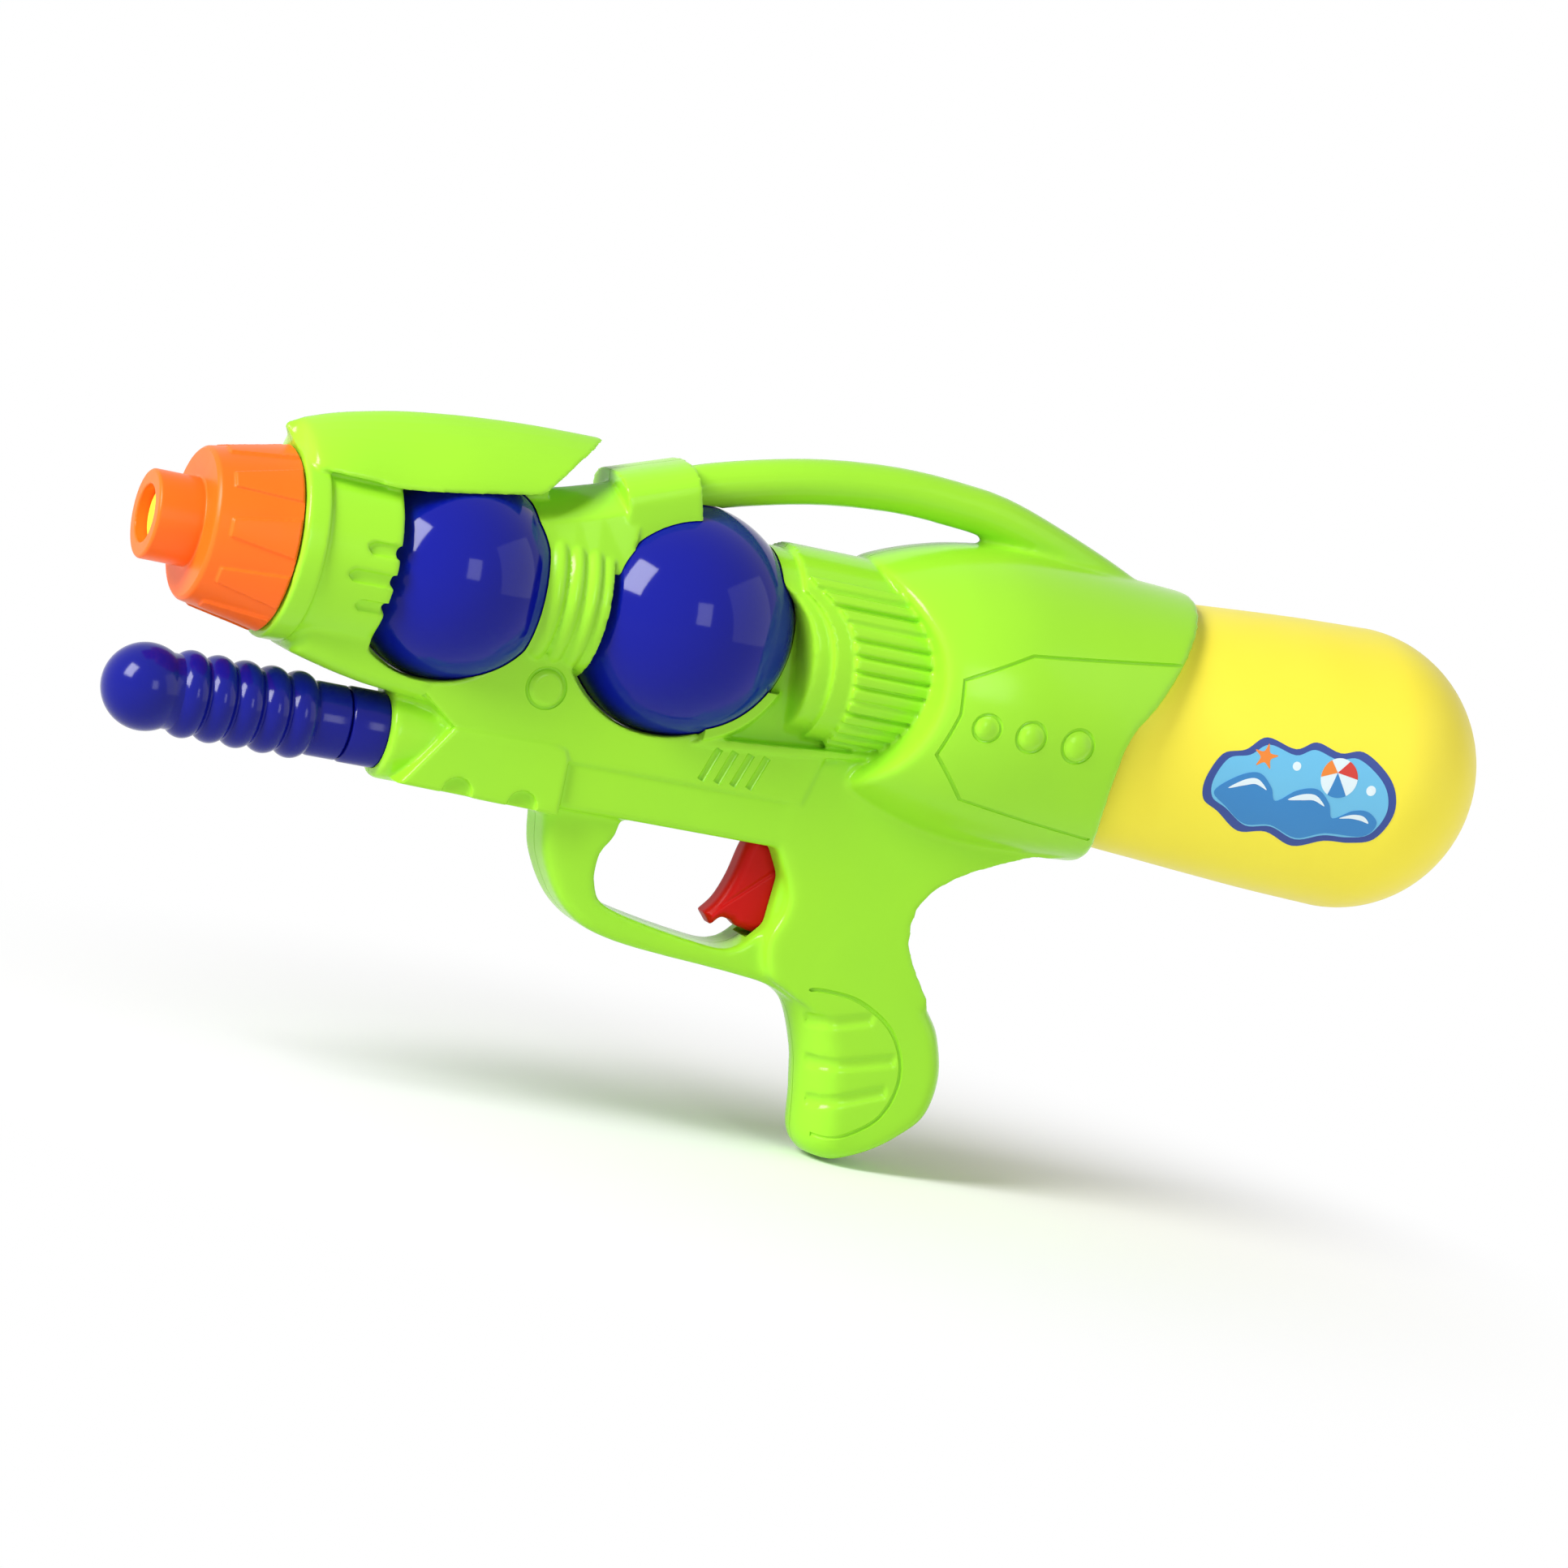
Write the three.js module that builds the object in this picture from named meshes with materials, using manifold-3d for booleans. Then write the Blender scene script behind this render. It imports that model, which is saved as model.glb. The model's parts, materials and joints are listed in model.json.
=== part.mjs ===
// A pump-up water squirter with a round rear tank, made of the separate pieces it is assembled from.
// All sizes are in millimetres. X runs along the barrel from the nozzle (-X) to the tank (+X),
// Y runs across it and Z is up. The pieces are drawn about the barrel axis, with the trigger near X = 0;
// at the end the whole is set down so that the toe of the grip stands on Z = 0.
import * as THREE from "three";
import { mergeVertices } from "three/addons/utils/BufferGeometryUtils.js";
import Module from "manifold-3d";

// Fits and facets
const GAP = 0.3; // clearance left between neighbouring pieces
const WALL = 2.2; // wall of the moulded shells
const SIDES = 20; // flats round a large form
const PUMP_SIDES = 16; // flats round the pump and the hollows of the shells
const SMALL_SIDES = 10; // flats round a small form

// Balls
const FRONT_BALL_RADIUS = 24.5;
const REAR_BALL_RADIUS = 28;
const BALL_WALL = 1.8;
const BALL_DROP = 1.5; // centres of the balls below the barrel axis
const BALL_BORE = 4.2; // way through the balls for the water hose

// Nozzle and barrel
const NOZZLE_TIP_RADIUS = 10.8;
const NOZZLE_TIP_LENGTH = 11.6;
const NOZZLE_BORE = 7;
const CONE_LENGTH = 20.6;
const CONE_FRONT_RADIUS = 18.6;
const CONE_REAR_RADIUS = 22.8;
const CONE_WEDGES = 10;
const JET_RECESS = 7.5; // face of the jet behind the mouth of the nozzle
const COLLAR_RADIUS = 23.8;
const COLLAR_LENGTH = 6;
const BARREL_RADIUS = 22.5;
const BARREL_LENGTH = 24.5;
const BARREL_FINGERS = 18; // pitch of the fingers round the barrel rim, as a count for a full turn
const WAIST_RADIUS = 19;
const DRUM_RADIUS = 23.8;
const DRUM_RIBS = 28; // pitch of the ribs round the drum, as a count for a full turn

// Pump
const CYLINDER_RADIUS = 9;
const CYLINDER_WALL = 1.5;
const PUMP_STROKE = 70; // travel of the piston, which sets the length of the cylinder
const ROD_RADIUS = 3;
const PUMP_TUBE_WALL = 2.2;
const CAP_RADIUS = 9.3;
const CAP_LENGTH = 9;
const CAP_PLUG = 4.5; // length of the cap inside the cylinder
const HANDLE_RADIUS = 10.6;
const HANDLE_SLEEVE_RADIUS = 9;
const HANDLE_SLEEVE_LENGTH = 8.5;
const HANDLE_RINGS = 5;
const RING_PITCH = 6.8;

// Hoses and valve
const HOSE_RADIUS = 3;
const HOSE_BORE = 2;
const NIPPLE_RADIUS = HOSE_BORE - GAP - 0.2; // clear of the flats of the hose bore
const NIPPLE_BORE = 0.9;
const LEVER_HALF = 2.6; // half the width of the trigger lever
const HOSE_SIDE = LEVER_HALF + HOSE_RADIUS + 0.7; // the air hose passes the lever this far to one side
const VALVE_RADIUS = 4.6;
const VALVE_BORE = 3.3;
const VALVE_Z = -13;
const STEM_RADIUS = 1.2;
const SPRING_WIRE = 0.4;
const SPRING_TURNS = 5;

// Tank and the sleeve that holds it
const TANK_RADIUS = 36.2;
const TANK_WALL = 1.4;
const TANK_DROP = 4; // tank axis below the barrel axis
const TANK_END_X = 185;
const NECK_RADIUS = 16;
const NECK_WALL = 2.2;
const NECK_LENGTH = 11;
const DIP_TUBE_LENGTH = 112;

// Receiver, guard, grip and carry handle
const RECEIVER_HALF = HOSE_SIDE + HOSE_RADIUS + 1 + WALL; // room for the air hose beside the lever
const GUARD_HALF = 8.5;
const GRIP_HALF = RECEIVER_HALF + 0.5;
const TRIGGER_HALF = 4.2;
const PIN_RADIUS = 1.75;
const ARCH_RADIUS = 6;
const COLLAR_HALF = 9;

// Screws
const SCREW_RADIUS = 1.4;
const SCREW_HEAD_RADIUS = 2.8;
const SCREW_HEAD = 2;
const SCREW_SEAT_Y = 4; // floor of each counterbore in the right shell
const SCREW_REACH = 7; // thread in the left shell
const POST_RADIUS = 4.6;

// Stations along the barrel, worked forward from the drum
const DRUM_FRONT_X = -12;
const REAR_BALL_X = DRUM_FRONT_X - REAR_BALL_RADIUS + 6;
const WAIST_RIM_X = REAR_BALL_X - REAR_BALL_RADIUS - 1;
const FRONT_BALL_X = WAIST_RIM_X - FRONT_BALL_RADIUS - 6.2;
const BARREL_RIM_X = FRONT_BALL_X - FRONT_BALL_RADIUS - 0.5;
const COLLAR_X = BARREL_RIM_X - BARREL_LENGTH;
const CONE_FRONT_X = COLLAR_X - CONE_LENGTH;
const NOZZLE_X = CONE_FRONT_X - NOZZLE_TIP_LENGTH;

// Stations of the pump
const PUMP_Z = -(BALL_DROP + REAR_BALL_RADIUS + 1.9 + CYLINDER_RADIUS);
const PUMP_TUBE_RADIUS = CYLINDER_RADIUS + GAP + PUMP_TUBE_WALL;
const CYLINDER_END_X = -18;
const END_CAP_X = -10;
const PISTON_LENGTH = 8;
const PISTON_X = CYLINDER_END_X - 2.5 - PISTON_LENGTH;
const CYLINDER_X = PISTON_X - PUMP_STROKE - CAP_PLUG - 2;
const PUMP_FRONT_X = CYLINDER_X - 2;
const CAP_X = PUMP_FRONT_X - GAP - CAP_LENGTH;
const HANDLE_END_X = CAP_X - GAP;
const RINGS_END_X = HANDLE_END_X - HANDLE_SLEEVE_LENGTH;
const KNOB_X = RINGS_END_X - HANDLE_RINGS * RING_PITCH - 7;

// Stations of the trigger, valve and tank
const RECEIVER_Z = PUMP_Z - 9.3;
const PIVOT_X = -1;
const PIVOT_Z = PUMP_Z - 6.6;
const STEM_NECK_X = 4;
const VALVE_X = 10;
const VALVE_END_X = 33;
const SOCKET_X = 46;
const SOCKET_FLANGE = 3;
const SOCKET_RADIUS = 28;
const TANK_Z = -TANK_DROP;
const NECK_X = SOCKET_X + SOCKET_FLANGE + 2.6;
const AIR_PORT = { y: 8, z: TANK_Z - 5.4 };

// Colours and finishes
const GREEN = finish(0x9fe036, 0.34);
const BLUE = finish(0x1a2590, 0.16);
const PUMP_BLUE = finish(0x232a80, 0.24);
const ORANGE = finish(0xfd7c2c, 0.36);
const YELLOW = finish(0xfdf04f, 0.38);
const RED = finish(0xc0201c, 0.3);
const WHITE = finish(0xe9e9e4, 0.45);
const CLEAR = finish(0xdfe6e6, 0.3);
const RUBBER = finish(0x2b2b2d, 0.75);
const STEEL = finish(0xb9bcc0, 0.3, 0.9);

function finish(color, roughness, metalness = 0) {
  return { color, roughness, metalness };
}

const kernel = await Module();
kernel.setup();

// A closed geometry as a solid that can be added to and cut.
function solid(geometry) {
  const loose = geometry.index ? geometry.toNonIndexed() : geometry.clone();
  loose.deleteAttribute("normal");
  loose.deleteAttribute("uv");
  const merged = mergeVertices(loose, 1e-5);
  const corners = merged.index.array;
  const kept = [];
  for (let i = 0; i < corners.length; i += 3) {
    const [a, b, c] = corners.slice(i, i + 3);
    if (a !== b && b !== c && c !== a) kept.push(a, b, c);
  }
  const build = (triangles) =>
    new kernel.Manifold(
      new kernel.Mesh({
        numProp: 3,
        vertProperties: merged.attributes.position.array,
        triVerts: new Uint32Array(triangles),
      }),
    );
  const made = build(kept);
  return made.volume() < 0 ? build(kept.reverse()) : made;
}

const join = (...solids) => solids.reduce((a, b) => a.add(b));
const cut = (from, ...tools) => tools.reduce((a, b) => a.subtract(b), from);
const common = (a, b) => a.intersect(b);

// A profile of [x, radius] points turned about an axis along X.
function turned(profile, { y = 0, z = 0, sides = SIDES } = {}) {
  const points = profile.map(([x, r]) => new THREE.Vector2(r, x));
  const geometry = new THREE.LatheGeometry(points, sides);
  geometry.rotateZ(-Math.PI / 2);
  geometry.translate(0, y, z);
  return solid(geometry);
}

// A round bar along X.
function bar(x0, x1, radius, place) {
  return turned([[x0, 0], [x0, radius], [x1, radius], [x1, 0]], place);
}

// A tube along X.
function pipe(x0, x1, radius, bore, place) {
  return turned([[x0, bore], [x0, radius], [x1, radius], [x1, bore], [x0, bore]], place);
}

// A round bar along Y.
function crossBar(x, z, radius, y0, y1, sides = SMALL_SIDES) {
  const geometry = new THREE.CylinderGeometry(radius, radius, Math.abs(y1 - y0), sides);
  geometry.translate(x, (y0 + y1) / 2, z);
  return solid(geometry);
}

function box([x0, x1], [y0, y1], [z0, z1]) {
  const geometry = new THREE.BoxGeometry(x1 - x0, y1 - y0, z1 - z0);
  geometry.translate((x0 + x1) / 2, (y0 + y1) / 2, (z0 + z1) / 2);
  return solid(geometry);
}

function ball(x, radius, sides = 18) {
  const geometry = new THREE.SphereGeometry(radius, sides, Math.round(0.55 * sides));
  geometry.rotateX(Math.PI / 2);
  geometry.translate(x, 0, -BALL_DROP);
  return solid(geometry);
}

// A closed outline. A run that is a list of points is a smooth curve, a single point a straight line.
function trace(path, start, ...runs) {
  path.moveTo(...start);
  let last = start;
  for (const run of runs) {
    if (Array.isArray(run[0])) {
      const curve = new THREE.SplineCurve([last, ...run].map((p) => new THREE.Vector2(...p)));
      for (const p of curve.getPoints(Math.ceil(1.5 * run.length)).slice(1)) path.lineTo(p.x, p.y);
      last = run[run.length - 1];
    } else {
      path.lineTo(...run);
      last = run;
    }
  }
  return path;
}
const outline = (...runs) => trace(new THREE.Shape(), ...runs);

// An outline given a thickness across Y, with its long edges taken off by the rounding.
function plate(shape, half, rounding = 0) {
  const depth = 2 * (half - rounding);
  const geometry = new THREE.ExtrudeGeometry(shape, {
    depth,
    bevelEnabled: rounding > 0,
    bevelThickness: rounding,
    bevelSize: rounding,
    bevelOffset: -rounding,
    bevelSegments: 1,
  });
  geometry.rotateX(Math.PI / 2);
  geometry.translate(0, depth / 2, 0);
  return solid(geometry);
}

// A round section carried along a smooth path, with a bore if one is given.
function along(path, radius, { bore = 0, steps = 24, sides = 6 } = {}) {
  const section = new THREE.Shape().absarc(0, 0, radius, 0, 2 * Math.PI);
  if (bore > 0) section.holes.push(new THREE.Path().absarc(0, 0, bore, 0, 2 * Math.PI, true));
  const options = { steps, curveSegments: sides / 2, bevelEnabled: false, extrudePath: path };
  return solid(new THREE.ExtrudeGeometry(section, options));
}

function smoothPath(points) {
  return new THREE.CatmullRomCurve3(points.map((p) => new THREE.Vector3(...p)));
}

// A block laid on a round form: its middle at the given angle from straight up, turned about an axis along X.
function onRound(radius, angle, z, [x0, x1], width, height) {
  const geometry = new THREE.BoxGeometry(x1 - x0, width, height);
  geometry.translate((x0 + x1) / 2, 0, radius);
  geometry.rotateX(-angle);
  geometry.translate(0, 0, z);
  return solid(geometry);
}

const degrees = (d) => (d * Math.PI) / 180;

// Points of an arc of a profile about a centre on the axis, from one angle to another.
function arc(x, radius, from, to, count) {
  return Array.from({ length: count + 1 }, (_, i) => {
    const a = from + ((to - from) * i) / count;
    return [x - radius * Math.cos(a), radius * Math.sin(a)];
  });
}

// Tank: a blown bottle, widest near its round end
const neckBore = NECK_RADIUS - NECK_WALL;
const shoulderX = NECK_X + NECK_LENGTH;
const tankOuter = [
  [NECK_X, NECK_RADIUS],
  [shoulderX, NECK_RADIUS],
  [shoulderX + 4, NECK_RADIUS + 7],
  [shoulderX + 9, TANK_RADIUS - 7.5],
  [shoulderX + 16, TANK_RADIUS - 4.8],
  [100, TANK_RADIUS - 3],
  [128, TANK_RADIUS - 1],
  [150, TANK_RADIUS],
];
const tankDome = TANK_END_X - 150;
for (let i = 1; i <= 5; i++) {
  const a = (i * Math.PI) / 10;
  tankOuter.push([150 + tankDome * Math.sin(a), TANK_RADIUS * Math.cos(a)]);
}
const tankInner = tankOuter
  .filter((_, i) => i > 1 && i % 2 === 0)
  .map(([x, r]) => [x - (x > 150 ? TANK_WALL : 0), Math.max(r - TANK_WALL, 0)])
  .reverse();
tankInner.push([shoulderX, neckBore], [NECK_X, neckBore], [NECK_X, NECK_RADIUS]);
tankOuter[tankOuter.length - 1][1] = 0;
const tank = turned([...tankOuter, ...tankInner], { z: TANK_Z });

// Outer form of the body, both halves together
const sleeveRadius = TANK_RADIUS + 1.6;
const sleeveProfile = [
  [3, 0],
  [3, sleeveRadius - 12],
  [10, sleeveRadius - 8.2],
  [19, sleeveRadius - 4.6],
  [30, sleeveRadius - 1.7],
  [44, sleeveRadius],
  [66, sleeveRadius - 0.4],
  [106, sleeveRadius - 2.6],
  [106, 0],
];
const sleeveRear = outline(
  [140, 60],
  [101, 60],
  [101, 38],
  [[95, 30], [85.7, 16], [78.3, 4.5], [72.6, -4], [71.4, -15], [73.6, -26], [77.6, -35], [83, -46]],
  [83, -60],
  [140, -60],
);
const sleeveFront = outline(
  [-20, 60],
  [1, 60],
  [2, 28],
  [[8.6, 21.3], [14.5, 15], [19.5, 8], [21.5, -1], [20.8, -10], [17.5, -20], [12, -28], [6, -34]],
  [0, -60],
  [-20, -60],
);
const sleeve = cut(
  turned(sleeveProfile, { z: TANK_Z }),
  plate(sleeveRear, 60),
  plate(sleeveFront, 60),
);
const barrel = turned([
  [COLLAR_X, 0],
  [COLLAR_X, COLLAR_RADIUS - 0.6],
  [COLLAR_X + 0.6, COLLAR_RADIUS],
  [COLLAR_X + COLLAR_LENGTH, COLLAR_RADIUS],
  [COLLAR_X + COLLAR_LENGTH, BARREL_RADIUS],
  [BARREL_RIM_X, BARREL_RADIUS],
  [BARREL_RIM_X, 0],
]);
const waistProfile = [[FRONT_BALL_X, 0], [FRONT_BALL_X, WAIST_RADIUS]];
for (const step of [14.2, 8.9, 3.6]) {
  const x = WAIST_RIM_X - step;
  waistProfile.push([x, WAIST_RADIUS], [x + 1.4, WAIST_RADIUS + 1], [x + 2.8, WAIST_RADIUS]);
}
waistProfile.push([WAIST_RIM_X, WAIST_RADIUS], [WAIST_RIM_X, 0]);
const waist = turned(waistProfile);
const drum = bar(DRUM_FRONT_X, 30, DRUM_RADIUS);
const pumpTube = bar(PUMP_FRONT_X, WAIST_RIM_X + 4, PUMP_TUBE_RADIUS, { z: PUMP_Z, sides: PUMP_SIDES });

// Keel under the balls, from the chin below the barrel back to the drum
const chin = plate(
  outline(
    [COLLAR_X + 7, -12],
    [COLLAR_X + 7, -BARREL_RADIUS - 2.4],
    [[COLLAR_X + 18, -BARREL_RADIUS - 5], [COLLAR_X + 27, -BARREL_RADIUS - 6.6]],
    [FRONT_BALL_X, PUMP_Z + PUMP_TUBE_RADIUS - 2],
    [FRONT_BALL_X, -12],
  ),
  RECEIVER_HALF + 1,
  5,
);
const keel = plate(
  outline(
    [PUMP_FRONT_X + 3, -20],
    [PUMP_FRONT_X + 3, PUMP_Z],
    [24, PUMP_Z],
    [24, -15],
    [DRUM_FRONT_X, -15],
    [WAIST_RIM_X, -13],
    [FRONT_BALL_X + 12, -13],
  ),
  RECEIVER_HALF,
  2,
);
const receiver = plate(
  outline(
    [WAIST_RIM_X, PUMP_Z + 6],
    [WAIST_RIM_X, RECEIVER_Z],
    [14, RECEIVER_Z],
    [22, PUMP_Z + 6],
  ),
  RECEIVER_HALF,
  2,
);

// Trigger guard and grip, drawn down from the receiver
const down = (points) => points.map(([x, z]) => [x, RECEIVER_Z + z]);
const guardOutline = outline(
  [WAIST_RIM_X + 0.2, RECEIVER_Z + 6],
  [WAIST_RIM_X + 0.2, RECEIVER_Z - 2],
  down([[-60, -13.6], [-51.4, -25], [-37.6, -30.4], [-6, -33.2], [6, -34.8], [16, -39]]),
  [34, RECEIVER_Z - 38],
  [34, RECEIVER_Z + 6],
);
const guardOpening = trace(
  new THREE.Path(),
  [-43, RECEIVER_Z],
  down([[-44, -5], [-46.6, -10], [-46, -17.4], [-40.5, -22.6], [-16, -27], [-6, -26.6], [1, -20]]),
  [2, RECEIVER_Z],
);
guardOutline.holes.push(guardOpening);
const guard = plate(guardOutline, GUARD_HALF, 2);
const gripOutline = outline(
  [-3, RECEIVER_Z + 14],
  [-2.6, RECEIVER_Z],
  down([[2.4, -9], [3, -15], [0.5, -23], [3, -31.4], [10, -34.8], [16, -39.6], [20.6, -50], [23, -60]]),
  down([[24.4, -68], [28.4, -75], [35, -75], [50, -66.6], [57.4, -58], [57.4, -48], [50, -33], [41, -23.6]]),
  down([[37.4, -16], [38.5, -7], [48, 1.8], [69, 11], [78, 13.5]]),
  [70, RECEIVER_Z + 30],
  [20, RECEIVER_Z + 30],
);
const grip = plate(gripOutline, GRIP_HALF, 2.5);

// Carry handle: an arch from a saddle over the waist to the top of the sleeve
const sleeveTop = TANK_Z + sleeveRadius;
const arch = along(
  smoothPath([
    [-46, 0, 29],
    [-37, 0, 33.6],
    [-13, 0, 40],
    [9, 0, sleeveTop + 8.4],
    [43, 0, sleeveTop + 6.4],
    [68, 0, sleeveTop + 0.2],
    [84, 0, sleeveTop - 5.4],
    [93, 0, sleeveTop - 10],
  ]),
  ARCH_RADIUS,
  { steps: 14, sides: 10 },
);
const saddle = plate(
  outline(
    [FRONT_BALL_X + 10, 12],
    [FRONT_BALL_X + 14, FRONT_BALL_RADIUS],
    [WAIST_RIM_X - 7, 28],
    [WAIST_RIM_X, 29.5],
    [[WAIST_RIM_X + 3, 32.6], [WAIST_RIM_X + 14, 36.8], [WAIST_RIM_X + 22, 37]],
    [WAIST_RIM_X + 26, 33],
    [WAIST_RIM_X + 26, 25],
    [WAIST_RIM_X + 16, 10],
  ),
  COLLAR_HALF,
  3,
);

// Sight: a roofed fin over the front ball, its skirt spreading wide over the barrel
const sightSection = new THREE.Shape();
sightSection.moveTo(-14.5, 0);
for (const [y, z] of [[-13.8, 1.6], [-8.2, 6.4], [-6.2, 13], [-4, 17.6], [4, 17.6], [6.2, 13], [8.2, 6.4]])
  sightSection.lineTo(y, z);
sightSection.lineTo(13.8, 1.6);
sightSection.lineTo(14.5, 0);
const sightRun = new THREE.ExtrudeGeometry(sightSection, { depth: 110, bevelEnabled: false });
sightRun.rotateX(Math.PI / 2);
sightRun.rotateZ(Math.PI / 2);
sightRun.rotateY(-degrees(4.5));
sightRun.translate(COLLAR_X - 10, 0, 17.6);
const sight = common(
  solid(sightRun),
  plate(
    outline(
      [COLLAR_X + 0.5, 14],
      [COLLAR_X + 0.5, 24],
      [[COLLAR_X - 1.6, 26.6], [COLLAR_X - 0.6, 29]],
      [[COLLAR_X + 8, 32.4], [COLLAR_X + 25, 36.9], [COLLAR_X + 50, 40.2], [COLLAR_X + 77, 41.2]],
      [COLLAR_X + 69, 31],
      [COLLAR_X + 61, 23.5],
      [COLLAR_X + 61, 14],
    ),
    30,
  ),
);

const spine = plate(
  outline(
    [COLLAR_X + 4, 18],
    [COLLAR_X + 4, 27],
    [COLLAR_X + 62, 30],
    [FRONT_BALL_X + 14, 12],
    [BARREL_RIM_X - 1, 12],
    [BARREL_RIM_X - 1, 18],
  ),
  COLLAR_HALF,
);

// Raised and sunk details of the shells
const detail = [];
for (const side of [-1, 1]) {
  for (let i = -4; i <= 4; i++) {
    const angle = side * degrees(94) + (side * i * 2 * Math.PI) / DRUM_RIBS;
    detail.push(onRound(DRUM_RADIUS, angle, 0, [-1, 26], 2.6, 2));
  }
  for (let i = -1; i <= 2; i++) {
    const angle = side * degrees(88) + (side * i * 2 * Math.PI) / BARREL_FINGERS;
    detail.push(onRound(BARREL_RADIUS, angle, 0, [BARREL_RIM_X - 11, BARREL_RIM_X + 1.2], 4.6, 1.4));
  }
  for (const [x, radius] of [[33, 3], [45.5, 3.8], [59.5, 4.6]]) {
    const face = sleeveRadius + (x < 40 ? -0.6 : 0.7);
    detail.push(crossBar(x, TANK_Z - 4.6, radius, side * (sleeveRadius - 4), side * face));
  }
  detail.push(crossBar(WAIST_RIM_X - 7.5, -20.6, 3.4, 0, side * (RECEIVER_HALF + 1)));
}

// Hollows of the shells
const frontPocket = ball(FRONT_BALL_X, FRONT_BALL_RADIUS + GAP);
const rearPocket = ball(REAR_BALL_X, REAR_BALL_RADIUS + GAP);
const spigotRadius = BARREL_RADIUS - WALL - 3.3;
const barrelHollow = turned([
  [COLLAR_X - 1, 0],
  [COLLAR_X - 1, spigotRadius + GAP],
  [COLLAR_X + 3, spigotRadius + GAP],
  [COLLAR_X + 3, BARREL_RADIUS - WALL],
  [BARREL_RIM_X - 2.4, BARREL_RADIUS - WALL],
  [BARREL_RIM_X - 2.4, BALL_BORE],
  [BARREL_RIM_X + 2, BALL_BORE],
  [BARREL_RIM_X + 2, 0],
]);
const waistHollow = turned([
  [FRONT_BALL_X + 5, 0],
  [FRONT_BALL_X + 5, WAIST_RADIUS - 3.4],
  [WAIST_RIM_X - 2.4, WAIST_RADIUS - 3.4],
  [WAIST_RIM_X - 2.4, BALL_BORE],
  [WAIST_RIM_X + 2, BALL_BORE],
  [WAIST_RIM_X + 2, 0],
]);
const pumpHollow = bar(PUMP_FRONT_X - 1, END_CAP_X + GAP, CYLINDER_RADIUS + GAP, { z: PUMP_Z, sides: PUMP_SIDES });
const receiverHollow = box(
  [CYLINDER_END_X - 1, 31],
  [WALL - RECEIVER_HALF, RECEIVER_HALF - WALL],
  [RECEIVER_Z + WALL, PUMP_Z + CYLINDER_RADIUS],
);
const leverHollow = box(
  [DRUM_FRONT_X + 3.6, 31],
  [WALL - RECEIVER_HALF, RECEIVER_HALF - WALL],
  [PUMP_Z, VALVE_Z],
);
const hoseHole = bar(DRUM_FRONT_X - 8, DRUM_FRONT_X + 6, BALL_BORE + 0.8, { sides: SMALL_SIDES });
const triggerSlot = box(
  [PIVOT_X - 9.5, 14],
  [-TRIGGER_HALF - GAP, TRIGGER_HALF + GAP],
  [RECEIVER_Z - 24, RECEIVER_Z + 6],
);
const tankRoom = tankOuter.filter(([x]) => x > shoulderX && x < 130).map(([x, r]) => [x, r + 0.6]);
const sleeveHollow = join(
  turned(
    [
      [DRUM_FRONT_X + 2.2, 0],
      [DRUM_FRONT_X + 2.2, DRUM_RADIUS - WALL],
      [24, DRUM_RADIUS - WALL],
      [24, 0],
    ],
    { z: 0 },
  ),
  turned(
    [
      [22, 0],
      [22, DRUM_RADIUS - WALL - TANK_DROP],
      [29, sleeveRadius - 6],
      [36, sleeveRadius - 3.4],
      [44, sleeveRadius - WALL],
      [shoulderX, sleeveRadius - WALL - 0.3],
      ...tankRoom.slice(2),
      [tankRoom[tankRoom.length - 1][0], 0],
    ],
    { z: TANK_Z },
  ),
);
const gripHollow = plate(
  outline(
    ...down([[15, -6], [10, -20], [13, -33], [20.6, -40], [25, -52], [28, -67], [34, -71], [47.6, -63.4]]),
    ...down([[53.4, -56], [53.2, -49], [46.4, -35.4], [37.6, -26], [33.4, -16], [33.4, -6]]),
  ),
  GRIP_HALF - WALL,
);

// Inner ribs that carry the valve and the tank socket
const valveRib = box([22, 25.5], [-50, 50], [VALVE_Z - VALVE_RADIUS - 3, VALVE_Z + VALVE_RADIUS + 3]);
const socketBore = SOCKET_RADIUS - 4;
const atSocketRibs = { z: TANK_Z, sides: SMALL_SIDES };
const frontRib = pipe(SOCKET_X - GAP - 2, SOCKET_X - GAP, sleeveRadius + 2, socketBore, atSocketRibs);
const flangeEnd = SOCKET_X + SOCKET_FLANGE + GAP;
const rearRib = pipe(flangeEnd, flangeEnd + 2, sleeveRadius + 2, socketBore, atSocketRibs);

// Screws: where each one crosses the shells, and whether it needs a post through a hollow
const screws = [
  { name: "screw_barrel", x: BARREL_RIM_X - 9, z: -13, post: true },
  { name: "screw_waist", x: WAIST_RIM_X - 7.5, z: -21.2, post: false },
  { name: "screw_saddle", x: WAIST_RIM_X + 10, z: 29, post: false },
  { name: "screw_drum", x: DRUM_FRONT_X + 7, z: 14.6, post: true },
  { name: "screw_guard", x: WAIST_RIM_X + 8.5, z: RECEIVER_Z - 6, post: false },
  { name: "screw_grip_top", x: 30, z: RECEIVER_Z - 7, post: true },
  { name: "screw_grip_toe", x: 42, z: RECEIVER_Z - 57, post: true },
];
const screwHole = ({ x, z }) =>
  join(
    crossBar(x, z, SCREW_RADIUS + GAP, -SCREW_REACH - 1, SCREW_SEAT_Y + 1, 8),
    crossBar(x, z, SCREW_HEAD_RADIUS + 2 * GAP, SCREW_SEAT_Y, 60, 8),
  );

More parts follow.
